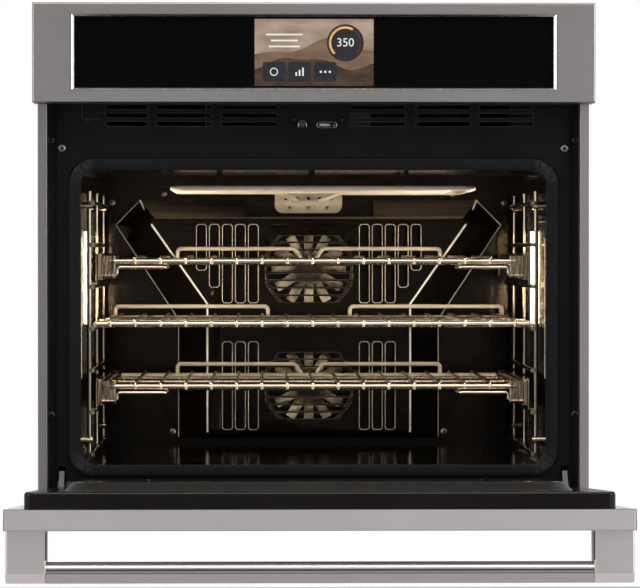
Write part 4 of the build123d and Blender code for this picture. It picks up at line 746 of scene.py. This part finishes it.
def round_line(half_x, low, high, radius):
    """Round-cornered loop: across, up, outward direction, run so far, nearness to a corner's middle."""
    line = []
    run = 0.0
    corners = ((1, high - radius), (-1, high - radius), (-1, low + radius), (1, low + radius))
    middles = [(side * (half_x - radius), z) for side, z in corners]
    for place, centre in enumerate(middles):
        for step in range(CORNER_STEPS + 1):
            turn = 0.5 * pi * (place + step / CORNER_STEPS)
            out = (cos(turn), sin(turn))
            at = (centre[0] + radius * out[0], centre[1] + radius * out[1])
            line.append((*at, out, run, sin(pi * step / CORNER_STEPS)))
            run += 0.5 * pi * radius / CORNER_STEPS
        after = middles[(place + 1) % len(middles)]
        length = abs(after[0] - centre[0]) + abs(after[1] - centre[1])
        count = int(length / LINE_STEP)
        for step in range(1, count):
            share = step / count
            x = at[0] + (after[0] - centre[0]) * share
            z = at[1] + (after[1] - centre[1]) * share
            line.append((x, z, out, run + length * share, 0.0))
        run += length
    return line


def power(value, exponent):
    """Power that keeps the sign, for squarish round sections."""
    return abs(value) ** exponent * (1 if value > 0 else -1)


def make_gasket():
    """Woven tube gasket, with the wrinkles that its tight corners have."""
    low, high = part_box("door_gasket")
    half = GASKET_BAND / 2
    line = round_line(high[0] - half, low[2] + half, high[2] - half, OPENING_R + half)
    proud = high[1] - low[1]
    rings = []
    for x, z, out, run, bend in line:
        slack = sum(size * sin(run * rate + start) for size, rate, start in SLACK)
        ring = []
        for side, (aside, front) in enumerate(ROUND):
            turn = tau * side / ROUND_SIDES
            ripple = sum(size * sin(run * rate + twist * turn) for size, rate, twist in WRINKLES)
            move = bend * ripple * (1.0 - WRINKLE_INSIDE * aside) + slack
            across = half * TUBE_ACROSS * power(aside, TUBE_SQUARE[0]) + WRINKLE_ACROSS * move * aside
            crown = min(TUBE_CROWN, move) * max(0.0, front)
            stand = proud * TUBE_STAND * (1.0 + power(front, TUBE_SQUARE[1])) + crown
            ring.append((x + across * out[0], high[1] - stand, z + across * out[1]))
        rings.append(ring)
    mesh = loft("woven_gasket", rings, True)
    weave = mesh.uv_layers.new(name="weave")
    runs = [place[3] for place in line] + [line[-1][3] + LINE_STEP]
    bends = mesh.uv_layers.new(name="bend")
    for face in mesh.polygons:
        ring, side = divmod(face.index, ROUND_SIDES)
        corners = ((ring, side), (ring + 1, side), (ring + 1, side + 1), (ring, side + 1))
        for loop, (along, around) in zip(face.loop_indices, corners):
            weave.data[loop].uv = (runs[along], around / ROUND_SIDES)
            bends.data[loop].uv = (line[along % len(line)][4], 0.0)
    piece = add_piece("woven_gasket", mesh, braid("gasket_braid"), "chassis")
    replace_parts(piece, "door_gasket")


def on_door(across, along, out):
    """Place on the open door, from its hinge: across, along the door, and outward from its front."""
    return (
        across,
        HINGE_Y - along * sin(DOOR_OPEN) - out * cos(DOOR_OPEN),
        HINGE_Z + along * cos(DOOR_OPEN) - out * sin(DOOR_OPEN),
    )


def make_plug_skirt():
    """Pressed slope round the raised middle of the door's inner side."""
    rings = []
    for u, v, out, _, _ in round_line(PLUG_HALF, *PLUG_V, PLUG_R):
        rings.append([on_door(u + reach * out[0], v + reach * out[1], RIM_W - rise) for reach, rise in SKIRT])
    coat = enamel("skirt_enamel", level=0.004, peel=0.05, rough=0.10, gloss=0.7)
    add_piece("plug_skirt", loft("plug_skirt", rings, False), coat, "door")


def make_bezel():
    """Polished sloping edge between the control panel's face and its glass."""
    low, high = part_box("control_glass")
    face_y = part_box("control_panel_frame")[0][1]
    middle_z = middle_of("control_glass")[1]
    rings = []
    for side_x, side_z in CORNER_SIGNS:
        ring = []
        for share, depth in BEZEL_PROFILE:
            x = high[0] - GLASS_LIP + BEZEL_SLOPE[0] * (1 - share)
            z = high[2] - middle_z - GLASS_LIP + BEZEL_SLOPE[1] * (1 - share)
            ring.append((side_x * x, min(low[1], face_y + depth), middle_z + side_z * z))
        rings.append(ring)
    mesh = loft("bezel_edge", rings, False)
    mesh.set_sharp_from_angle(angle=BEZEL_CREASE)
    polish = plated("bezel_polish", (0.62, 0.60, 0.60), rough=0.18)
    add_piece("bezel_edge", mesh, polish, "chassis")


def add_bead(name, loops, radius, material, closed=True, body="chassis"):
    """Thin round bead along outlines, closed into loops or left open."""
    curve = bpy.data.curves.new(name, "CURVE")
    curve.dimensions = "3D"
    curve.bevel_depth = radius
    curve.bevel_resolution = BEAD_STEPS
    for loop in loops:
        spline = curve.splines.new("POLY")
        spline.points.add(len(loop) - 1)
        for point, place in zip(spline.points, loop):
            point.co = (*place, 1.0)
        spline.use_cyclic_u = closed
    holder = bpy.data.objects.new(name, curve)
    mesh = bpy.data.meshes.new_from_object(holder)
    bpy.data.objects.remove(holder)
    mesh.name = name
    mesh.shade_smooth()
    add_piece(name, mesh, material, body)


def slot_outline(x, low, high, y):
    """Corners of an upright slot with cut corners."""
    half = SLOT_W / 2
    corners = []
    for side, z, first in ((-1, low, True), (1, low, False), (1, high, True), (-1, high, False)):
        inward = SLOT_CUT if z == low else -SLOT_CUT
        cut = [(x + side * half, y, z + inward), (x + side * (half - SLOT_CUT), y, z)]
        corners += cut if first else cut[::-1]
    return corners


def grille_half(rise):
    """Half width of the eight-sided grille at a height from its middle."""
    return GRILLE_HALF - max(0.0, abs(rise) - GRILLE_STRAIGHT) * GRILLE_SLOPE


def make_cover_edges():
    """Pale beads on the convection cover's slot lips, grille slats, and the folds of its face and foot, whose
    pale colour is painted highlight.
    """
    low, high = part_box("convection_cover")
    face_y = low[1]
    slots = []
    slats = []
    folds = []
    feet = []
    for side in SIDES:
        for place, foot in enumerate(SLOT_FEET):
            slots.append(slot_outline(side * (SLOT_X + place * SLOT_PITCH), foot, SLOT_TOP, face_y))
        for place in range(LOW_SLOTS):
            slots.append(slot_outline(side * (SLOT_X + place * SLOT_PITCH), *LOW_SLOT_Z, face_y))
        foot_edge = [(side * x, high[1], z) for x, z in COVER_FOOT_EDGE]
        feet.append(foot_edge)
        folds.append(foot_edge[:1] + [(side * x, face_y + COVER_FOLD_SINK, z) for x, z in COVER_EDGE])
    for middle in FAN_Z:
        for row in GRILLE_ROWS:
            ends = [row * GRILLE_PITCH + share * GRILLE_OPEN for share in (-0.5, 0.5)]
            under, over = [(grille_half(rise), middle + rise) for rise in ends]
            corners = ((-under[0], under[1]), under, over, (-over[0], over[1]))
            slats.append([(x, face_y, z) for x, z in corners])
    # Pale colours on the black enamel's edges: painted highlights, lit also by the lamps.
    lip = plated("lip_painted_highlight", (0.80, 0.74, 0.66), rough=0.25, metal=0.5)
    slat = plated("slat_painted_highlight", (0.70, 0.60, 0.47), rough=0.20)
    shine = plated("fold_painted_highlight", (1.0, 0.97, 0.92), rough=0.30, metal=0.2)
    add_bead("slot_lips", slots, SLOT_LIP, lip)
    add_bead("grille_lips", slats, GRILLE_LIP, slat)
    add_bead("cover_folds", folds, COVER_FOLD, shine, closed=False)
    add_bead("cover_foot_edge", feet, COVER_FOOT, lip, closed=False)


def make_vent_edges():
    """Edges of the vent panel's slots, its service tab, the latch slot and the door switch's arch, as paler
    beads whose colour is painted highlight and glint.
    """
    face_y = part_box("vent_panel")[0][1]
    slots = []
    for row in range(VENT_ROWS):
        low = VENT_ROW_Z + row * VENT_PITCH
        high = low + VENT_SLOT_H
        for near, far in VENT_SPANS:
            slant = VENT_SLANT if far > near else -VENT_SLANT
            corners = ((near, low), (far - slant, low), (far, high), (near + slant, high))
            slots.append([(x, face_y, z) for x, z in corners])
    # Grey beads on the black panel: painted highlight on the slot and tab edges.
    edge = paint("slot_edge_highlight", level=0.05, rough=0.35)
    add_bead("vent_slot_edges", slots, SLOT_EDGE, edge)
    tab = [(x, face_y, z) for x, z in TAB_LINE]
    add_bead("service_tab_edge", [tab], SLOT_EDGE, edge, closed=False)
    ring = []
    for aside, up in ROUND:
        middle = LATCH_SLOT[1] - LATCH_SLOT_R if aside > 0 else LATCH_SLOT[0] + LATCH_SLOT_R
        ring.append((middle + LATCH_SLOT_R * aside, face_y, LATCH_Z + LATCH_SLOT_R * up))
    # Bright beads round the latch slot and the switch arch: painted glints.
    bright = plated("edge_glint", (0.62, 0.62, 0.61), rough=0.20)
    add_bead("latch_slot_edge", [ring], SLOT_EDGE, bright)
    x, z = middle_of("door_switch_plunger")
    arch = [(x + ARCH_R, face_y, z - ARCH_FOOT)]
    for step in range(ROUND_SIDES + 1):
        turn = pi * step / ROUND_SIDES
        arch.append((x + ARCH_R * cos(turn), face_y, z + ARCH_R * sin(turn)))
    arch.append((x - ARCH_R, face_y, z - ARCH_FOOT))
    add_bead("switch_arch", [arch], ARCH_WIRE, bright, closed=False)


def make_hairlines():
    """Dark hairlines of painted shade along folded edges, and a pale bead of painted glint along the cavity's
    front lip beside the lamps.
    """
    shadow = plated("edge_shade", (0.05, 0.05, 0.05), rough=0.40)
    low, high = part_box("control_panel_frame")
    left, right = low[0] + HAIRLINE, high[0] - HAIRLINE
    foot, top = low[2] + HAIRLINE, high[2] - HAIRLINE
    corners = ((left, foot), (right, foot), (right, top), (left, top))
    rim = [(x, low[1] + HAIRLINE, z) for x, z in corners]
    add_bead("panel_hairline", [rim], HAIRLINE, shadow)
    inner, outer = STRIP_W
    strip = ((-STRIP_HALF, inner), (STRIP_HALF, inner), (STRIP_HALF, outer), (-STRIP_HALF, outer))
    line = [on_door(u, STRIP_V, w) for u, w in strip]
    add_bead("strip_hairline", [line], HAIRLINE, shadow, body="door")
    for side, cap in zip(SIDES, ("left_handle_cap", "right_handle_cap")):
        line = [on_door(side * CAP_INSIDE, CAP_V, w) for w in CAP_W]
        add_bead(cap + "_hairline", [line], HAIRLINE, shadow, closed=False, body="door")
    # Pale bead along the liner's front edge: a painted glint.
    glint = plated("lip_glint", (0.97, 0.86, 0.70), rough=0.25)
    lips = [[(side * LIP_X, LIP_Y, z) for z in LIP_Z] for side in SIDES]
    add_bead("liner_lips", lips, HAIRLINE, glint, closed=False)


def make_heads(name, places, y, size, material):
    """Domed screw or rivet heads on a face that looks forward."""
    radius, height = size
    points = []
    faces = []
    for x, z in places:
        start = len(points)
        for reach, rise in HEAD_PROFILE:
            for aside, up in ROUND:
                points.append((x + radius * reach * aside, y - height * rise, z + radius * reach * up))
        for ring in range(len(HEAD_PROFILE) - 1):
            here = start + ring * ROUND_SIDES
            there = here + ROUND_SIDES
            for side in range(ROUND_SIDES):
                after = (side + 1) % ROUND_SIDES
                faces.append((here + side, here + after, there + after, there + side))
        faces.append(tuple(range(len(points) - ROUND_SIDES, len(points))))
    mesh = build_mesh(name, points, faces)
    mesh.shade_smooth()
    head = mesh.uv_layers.new(name="head")
    head_points = len(points) // len(places)
    for face in mesh.polygons:
        for loop, vertex in zip(face.loop_indices, face.vertices):
            x, z = places[vertex // head_points]
            head.data[loop].uv = ((points[vertex][0] - x) / radius, (points[vertex][2] - z) / radius)
    return add_piece(name, mesh, material, "chassis")


def make_screws():
    """Heads on the vent panel, back wall and terminal plate, and of the four mounting screws."""
    vent_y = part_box("vent_panel")[0][1]
    wall_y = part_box("convection_cover")[1][1]
    flange_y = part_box("left_side_trim")[1][1]
    black = screw_metal("front_screw_steel", (0.30, 0.30, 0.31))
    cream = screw_metal("wall_screw_steel", (0.85, 0.76, 0.60))
    dark = screw_metal("mount_screw_steel", (0.06, 0.06, 0.06))
    wall = [(side * x, z) for x, z in WALL_SCREWS for side in SIDES]
    mounting = [(side * x, z) for x, z in MOUNT_SCREWS for side in SIDES]
    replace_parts(make_heads("vent_screw_heads", VENT_SCREWS, vent_y, HEAD, black), "screws")
    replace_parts(make_heads("small_screw_heads", SMALL_SCREWS, vent_y, SMALL_HEAD, dark), "screws")
    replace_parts(make_heads("wall_screw_heads", wall, wall_y, HEAD, cream), "screws")
    make_heads("mounting_screw_heads", mounting, flange_y, HEAD, dark)
    plate_y = wall_y - TERMINAL_T
    make_heads("terminal_rivet_heads", RIVETS, plate_y, RIVET_HEAD, cream)


def screen_piece(name, outlines, layer, material):
    """Flat shapes on the screen, given across and up from its middle."""
    middle_x, middle_z = middle_of("display")
    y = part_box("display")[0][1] - layer * LAYER
    points = []
    faces = []
    for outline in outlines:
        faces.append(tuple(range(len(points), len(points) + len(outline))))
        points += [(middle_x + x, y, middle_z + z) for x, z in outline]
    add_piece(name, build_mesh(name, points, faces), material, "chassis")


def tile(x, z, width, height, radius):
    """Round-cornered tile about a middle."""
    corners = []
    for place, (side_x, side_z) in enumerate(CORNER_SIGNS):
        for step in range(TILE_STEPS + 1):
            turn = 0.5 * pi * (place + step / TILE_STEPS)
            across = x + side_x * (width / 2 - radius) + radius * cos(turn)
            corners.append((across, z + side_z * (height / 2 - radius) + radius * sin(turn)))
    return corners


def arc_band(x, z, inner, outer, start, end):
    """Short flat pieces along an arc, in turns anticlockwise from the right."""
    turns = [tau * (start + (end - start) * step / ARC_STEPS) for step in range(ARC_STEPS + 1)]
    bands = []
    for here, there in zip(turns, turns[1:]):
        corners = ((inner, here), (outer, here), (outer, there), (inner, there))
        bands.append([(x + reach * cos(turn), z + reach * sin(turn)) for reach, turn in corners])
    return bands


def dune(base, rise, waves, shift):
    """Band from the screen's foot up to a wavy line."""
    half, foot = SCREEN_HALF
    share, rate = DUNE_RIPPLE
    line = []
    for step in range(DUNE_STEPS + 1):
        x = half - 2 * half * step / DUNE_STEPS
        swell = rise * sin(waves * x / half + shift)
        ripple = share * rise * sin(rate * waves * x / half)
        line.append((x, base + swell + ripple))
    return [(-half, -foot), (half, -foot)] + line


def make_screen():
    """Picture on the screen: soft dunes, a ring gauge with a number, and a row of tiles."""
    half, top = SCREEN_HALF
    backdrop = [(-half, -top), (half, -top), (half, top), (-half, top)]
    sky = screen_glow("sky_glow", (0.27, 0.19, 0.14), (0.46, 0.36, 0.28), scale=22.0)
    far = screen_glow("far_glow", (0.15, 0.09, 0.06), (0.24, 0.155, 0.105), scale=30.0)
    near = screen_glow("near_glow", (0.045, 0.027, 0.019), (0.09, 0.056, 0.038), scale=40.0)
    slate = screen_glow("tile_glow", (0.020, 0.022, 0.026), (0.030, 0.032, 0.036), scale=60.0)
    pale = screen_glow("mark_glow", (0.80, 0.78, 0.74), (0.90, 0.88, 0.84), scale=60.0)
    amber = screen_glow("gauge_glow", (0.75, 0.38, 0.12), (0.85, 0.50, 0.18), scale=60.0)
    marks = arc_band(TILE_X[0], TILE_Z, *RING_ARC)
    for place, height in enumerate(COLUMN_HEIGHTS):
        x = TILE_X[1] + (place - 1) * COLUMN_PITCH
        marks.append(tile(x, TILE_Z - COLUMN_DROP + height / 2, COLUMN_W, height, COLUMN_R))
    marks += [tile(TILE_X[2] + place * DOT_PITCH, TILE_Z, *DOT_SIZE) for place in (-1, 0, 1)]
    marks += [tile(BAR_X, z, width, BAR_H, BAR_R) for z, width in BARS]
    screen_piece("screen_sky", [backdrop], 1, sky)
    screen_piece("screen_far_dune", [dune(*FAR_DUNE)], 2, far)
    screen_piece("screen_near_dune", [dune(*NEAR_DUNE)], 3, near)
    screen_piece("screen_tiles", [tile(x, TILE_Z, *TILE_SIZE) for x in TILE_X], 4, slate)
    screen_piece("screen_dial", [tile(*GAUGE_AT, *DIAL_SIZE)], 4, slate)
    screen_piece("screen_gauge_track", arc_band(*GAUGE_AT, *TRACK_ARC), 5, near)
    screen_piece("screen_gauge", arc_band(*GAUGE_AT, *GAUGE_ARC), 6, amber)
    screen_piece("screen_marks", marks, 6, pale)
    make_number(6, pale)


def make_number(layer, material):
    """Plain number in the middle of the gauge."""
    text = bpy.data.curves.new("screen_number", "FONT")
    text.body = GAUGE_NUMBER
    text.size = NUMBER_SIZE
    text.align_x = "CENTER"
    text.align_y = "CENTER"
    holder = bpy.data.objects.new("screen_number", text)
    mesh = bpy.data.meshes.new_from_object(holder)
    bpy.data.objects.remove(holder)
    x, z = middle_of("display")
    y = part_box("display")[0][1] - layer * LAYER
    upright = Matrix.Rotation(radians(90.0), 4, "X")
    mesh.transform(Matrix.Translation((x + GAUGE_AT[0], y, z + GAUGE_AT[1])) @ upright)
    mesh.materials.clear()
    add_piece("screen_number", mesh, material, "chassis")


def make_rear_fittings():
    """Pleated near-black sheet behind the rear louvres, which blocks their light and is painted shade of the
    bay seen through the vents, and the membrane that closes the empty cable gland.
    """
    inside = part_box("rear_panel")[0][1] - SHADE_SHEET_GAP
    low, high = SHADE_SHEET_Z
    points = []
    for fold in range(SHADE_SHEET_FOLDS + 1):
        x = SHADE_SHEET_X * (2 * fold / SHADE_SHEET_FOLDS - 1)
        y = inside - SHADE_SHEET_PLEAT * (fold % 2)
        points += [(x, y, low), (x, y, high)]
    faces = [(2 * fold, 2 * fold + 2, 2 * fold + 3, 2 * fold + 1) for fold in range(SHADE_SHEET_FOLDS)]
    # Near-black felt: painted shade where the vents look into the bay.
    felt = moulded("shade_sheet_felt", (0.012, 0.012, 0.013), rough=0.9)
    add_piece("louvre_shade_sheet", build_mesh("louvre_shade_sheet", points, faces), felt, "chassis")
    middle_x, middle_z = middle_of("cable_gland")
    rim_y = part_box("cable_gland")[1][1] - MEMBRANE_IN
    dome = [(MEMBRANE_R * share, rim_y + MEMBRANE_DOME * (1 - share ** 2)) for share in MEMBRANE_RINGS]
    rings = []
    for aside, up in ROUND:
        rings.append([(middle_x + reach * aside, y, middle_z + reach * up) for reach, y in dome])
    rubber = moulded("membrane_rubber", (0.015, 0.015, 0.015), rough=0.7)
    add_piece("gland_membrane", loft("gland_membrane", rings, False), rubber, "chassis")


def make_floor():
    """Plain pale studio floor."""
    low = CAD_BOX[0][2] - FLOOR_DROP
    near, far = FLOOR_Y
    corners = ((-FLOOR_X, near, low), (FLOOR_X, near, low), (FLOOR_X, far, low), (-FLOOR_X, far, low))
    mesh = build_mesh("studio_floor", corners, [(0, 1, 2, 3)])
    mesh.materials.append(floor_white("floor_white"))
    floor = bpy.data.objects.new("studio_floor", mesh)
    bpy.context.scene.collection.objects.link(floor)


def area_light(name, at, toward, size, watts, colour):
    """Soft rectangular light."""
    light = bpy.data.lights.new(name, "AREA")
    light.shape = "RECTANGLE"
    light.size, light.size_y = size
    light.energy = watts
    light.color = colour
    holder = bpy.data.objects.new(name, light)
    holder.location = at
    holder.rotation_euler = (Vector(toward) - Vector(at)).to_track_quat("-Z", "Y").to_euler()
    bpy.context.scene.collection.objects.link(holder)
    return holder


def light_cavity():
    """Warm light from the two lamp covers."""
    low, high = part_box("lamp_lenses")
    y, z = [(low[axis] + high[axis]) / 2 for axis in (AXIS_Y, AXIS_Z)]
    size = (high[1] - low[1], high[2] - low[2])
    for side in SIDES:
        at = (side * (high[0] - LAMP_INSET), y, z)
        lamp = area_light(f"oven_lamp_{side}", at, (0.0, y + LAMP_AIM_BACK, z), size, LAMP_POWER, WARM)
        lamp.visible_glossy = False


def light_studio():
    """White surround that is darker straight in front of the oven, with soft boxes round it."""
    world = bpy.data.worlds.new("studio")
    bpy.context.scene.world = world
    world.use_nodes = True
    nodes = Nodes(world.node_tree)
    across = nodes.part(nodes.node("TexCoord", {}).outputs["Generated"], "X")
    aside = nodes.calc("MAXIMUM", across, nodes.calc("MULTIPLY", across, LEFT_SHARE))
    level = nodes.ramp(aside, SIDE_TURN, FRONT_DARK, SIDE_LIGHT, interpolation_type="SMOOTHSTEP")
    seen = nodes.node("LightPath", {}).outputs["Is Camera Ray"]
    surround = nodes.mix(seen, level, grey(1.0))
    nodes.tree.links.new(surround, nodes.tree.nodes["Background"].inputs["Color"])
    for soft_box in SOFT_BOXES:
        area_light(*soft_box)


def set_camera():
    """Long lens far in front, a little left of the middle and level with it."""
    lens = bpy.data.cameras.new("camera")
    lens.lens = CAMERA_LENS
    lens.sensor_width = SENSOR_W
    camera = bpy.data.objects.new("camera", lens)
    camera.location = CAMERA_AT
    camera.rotation_euler = (radians(90.0 - CAMERA_DOWN), 0.0, radians(-CAMERA_RIGHT))
    bpy.context.scene.collection.objects.link(camera)
    bpy.context.scene.camera = camera


dress_front()
dress_cavity()
dress_chassis()
make_screen()
make_rear_fittings()
soften(0.0006, "vent_panel", "front_frame", "left_side_trim", "right_side_trim")
soften(0.0008, "convection_cover", "upper_slide_carriers", "lower_slide_carriers")
make_gasket()
make_plug_skirt()
make_bezel()
make_cover_edges()
make_vent_edges()
make_hairlines()
make_screws()
make_floor()
light_cavity()
light_studio()
set_camera()
bpy.context.scene.view_settings.view_transform = "Standard"
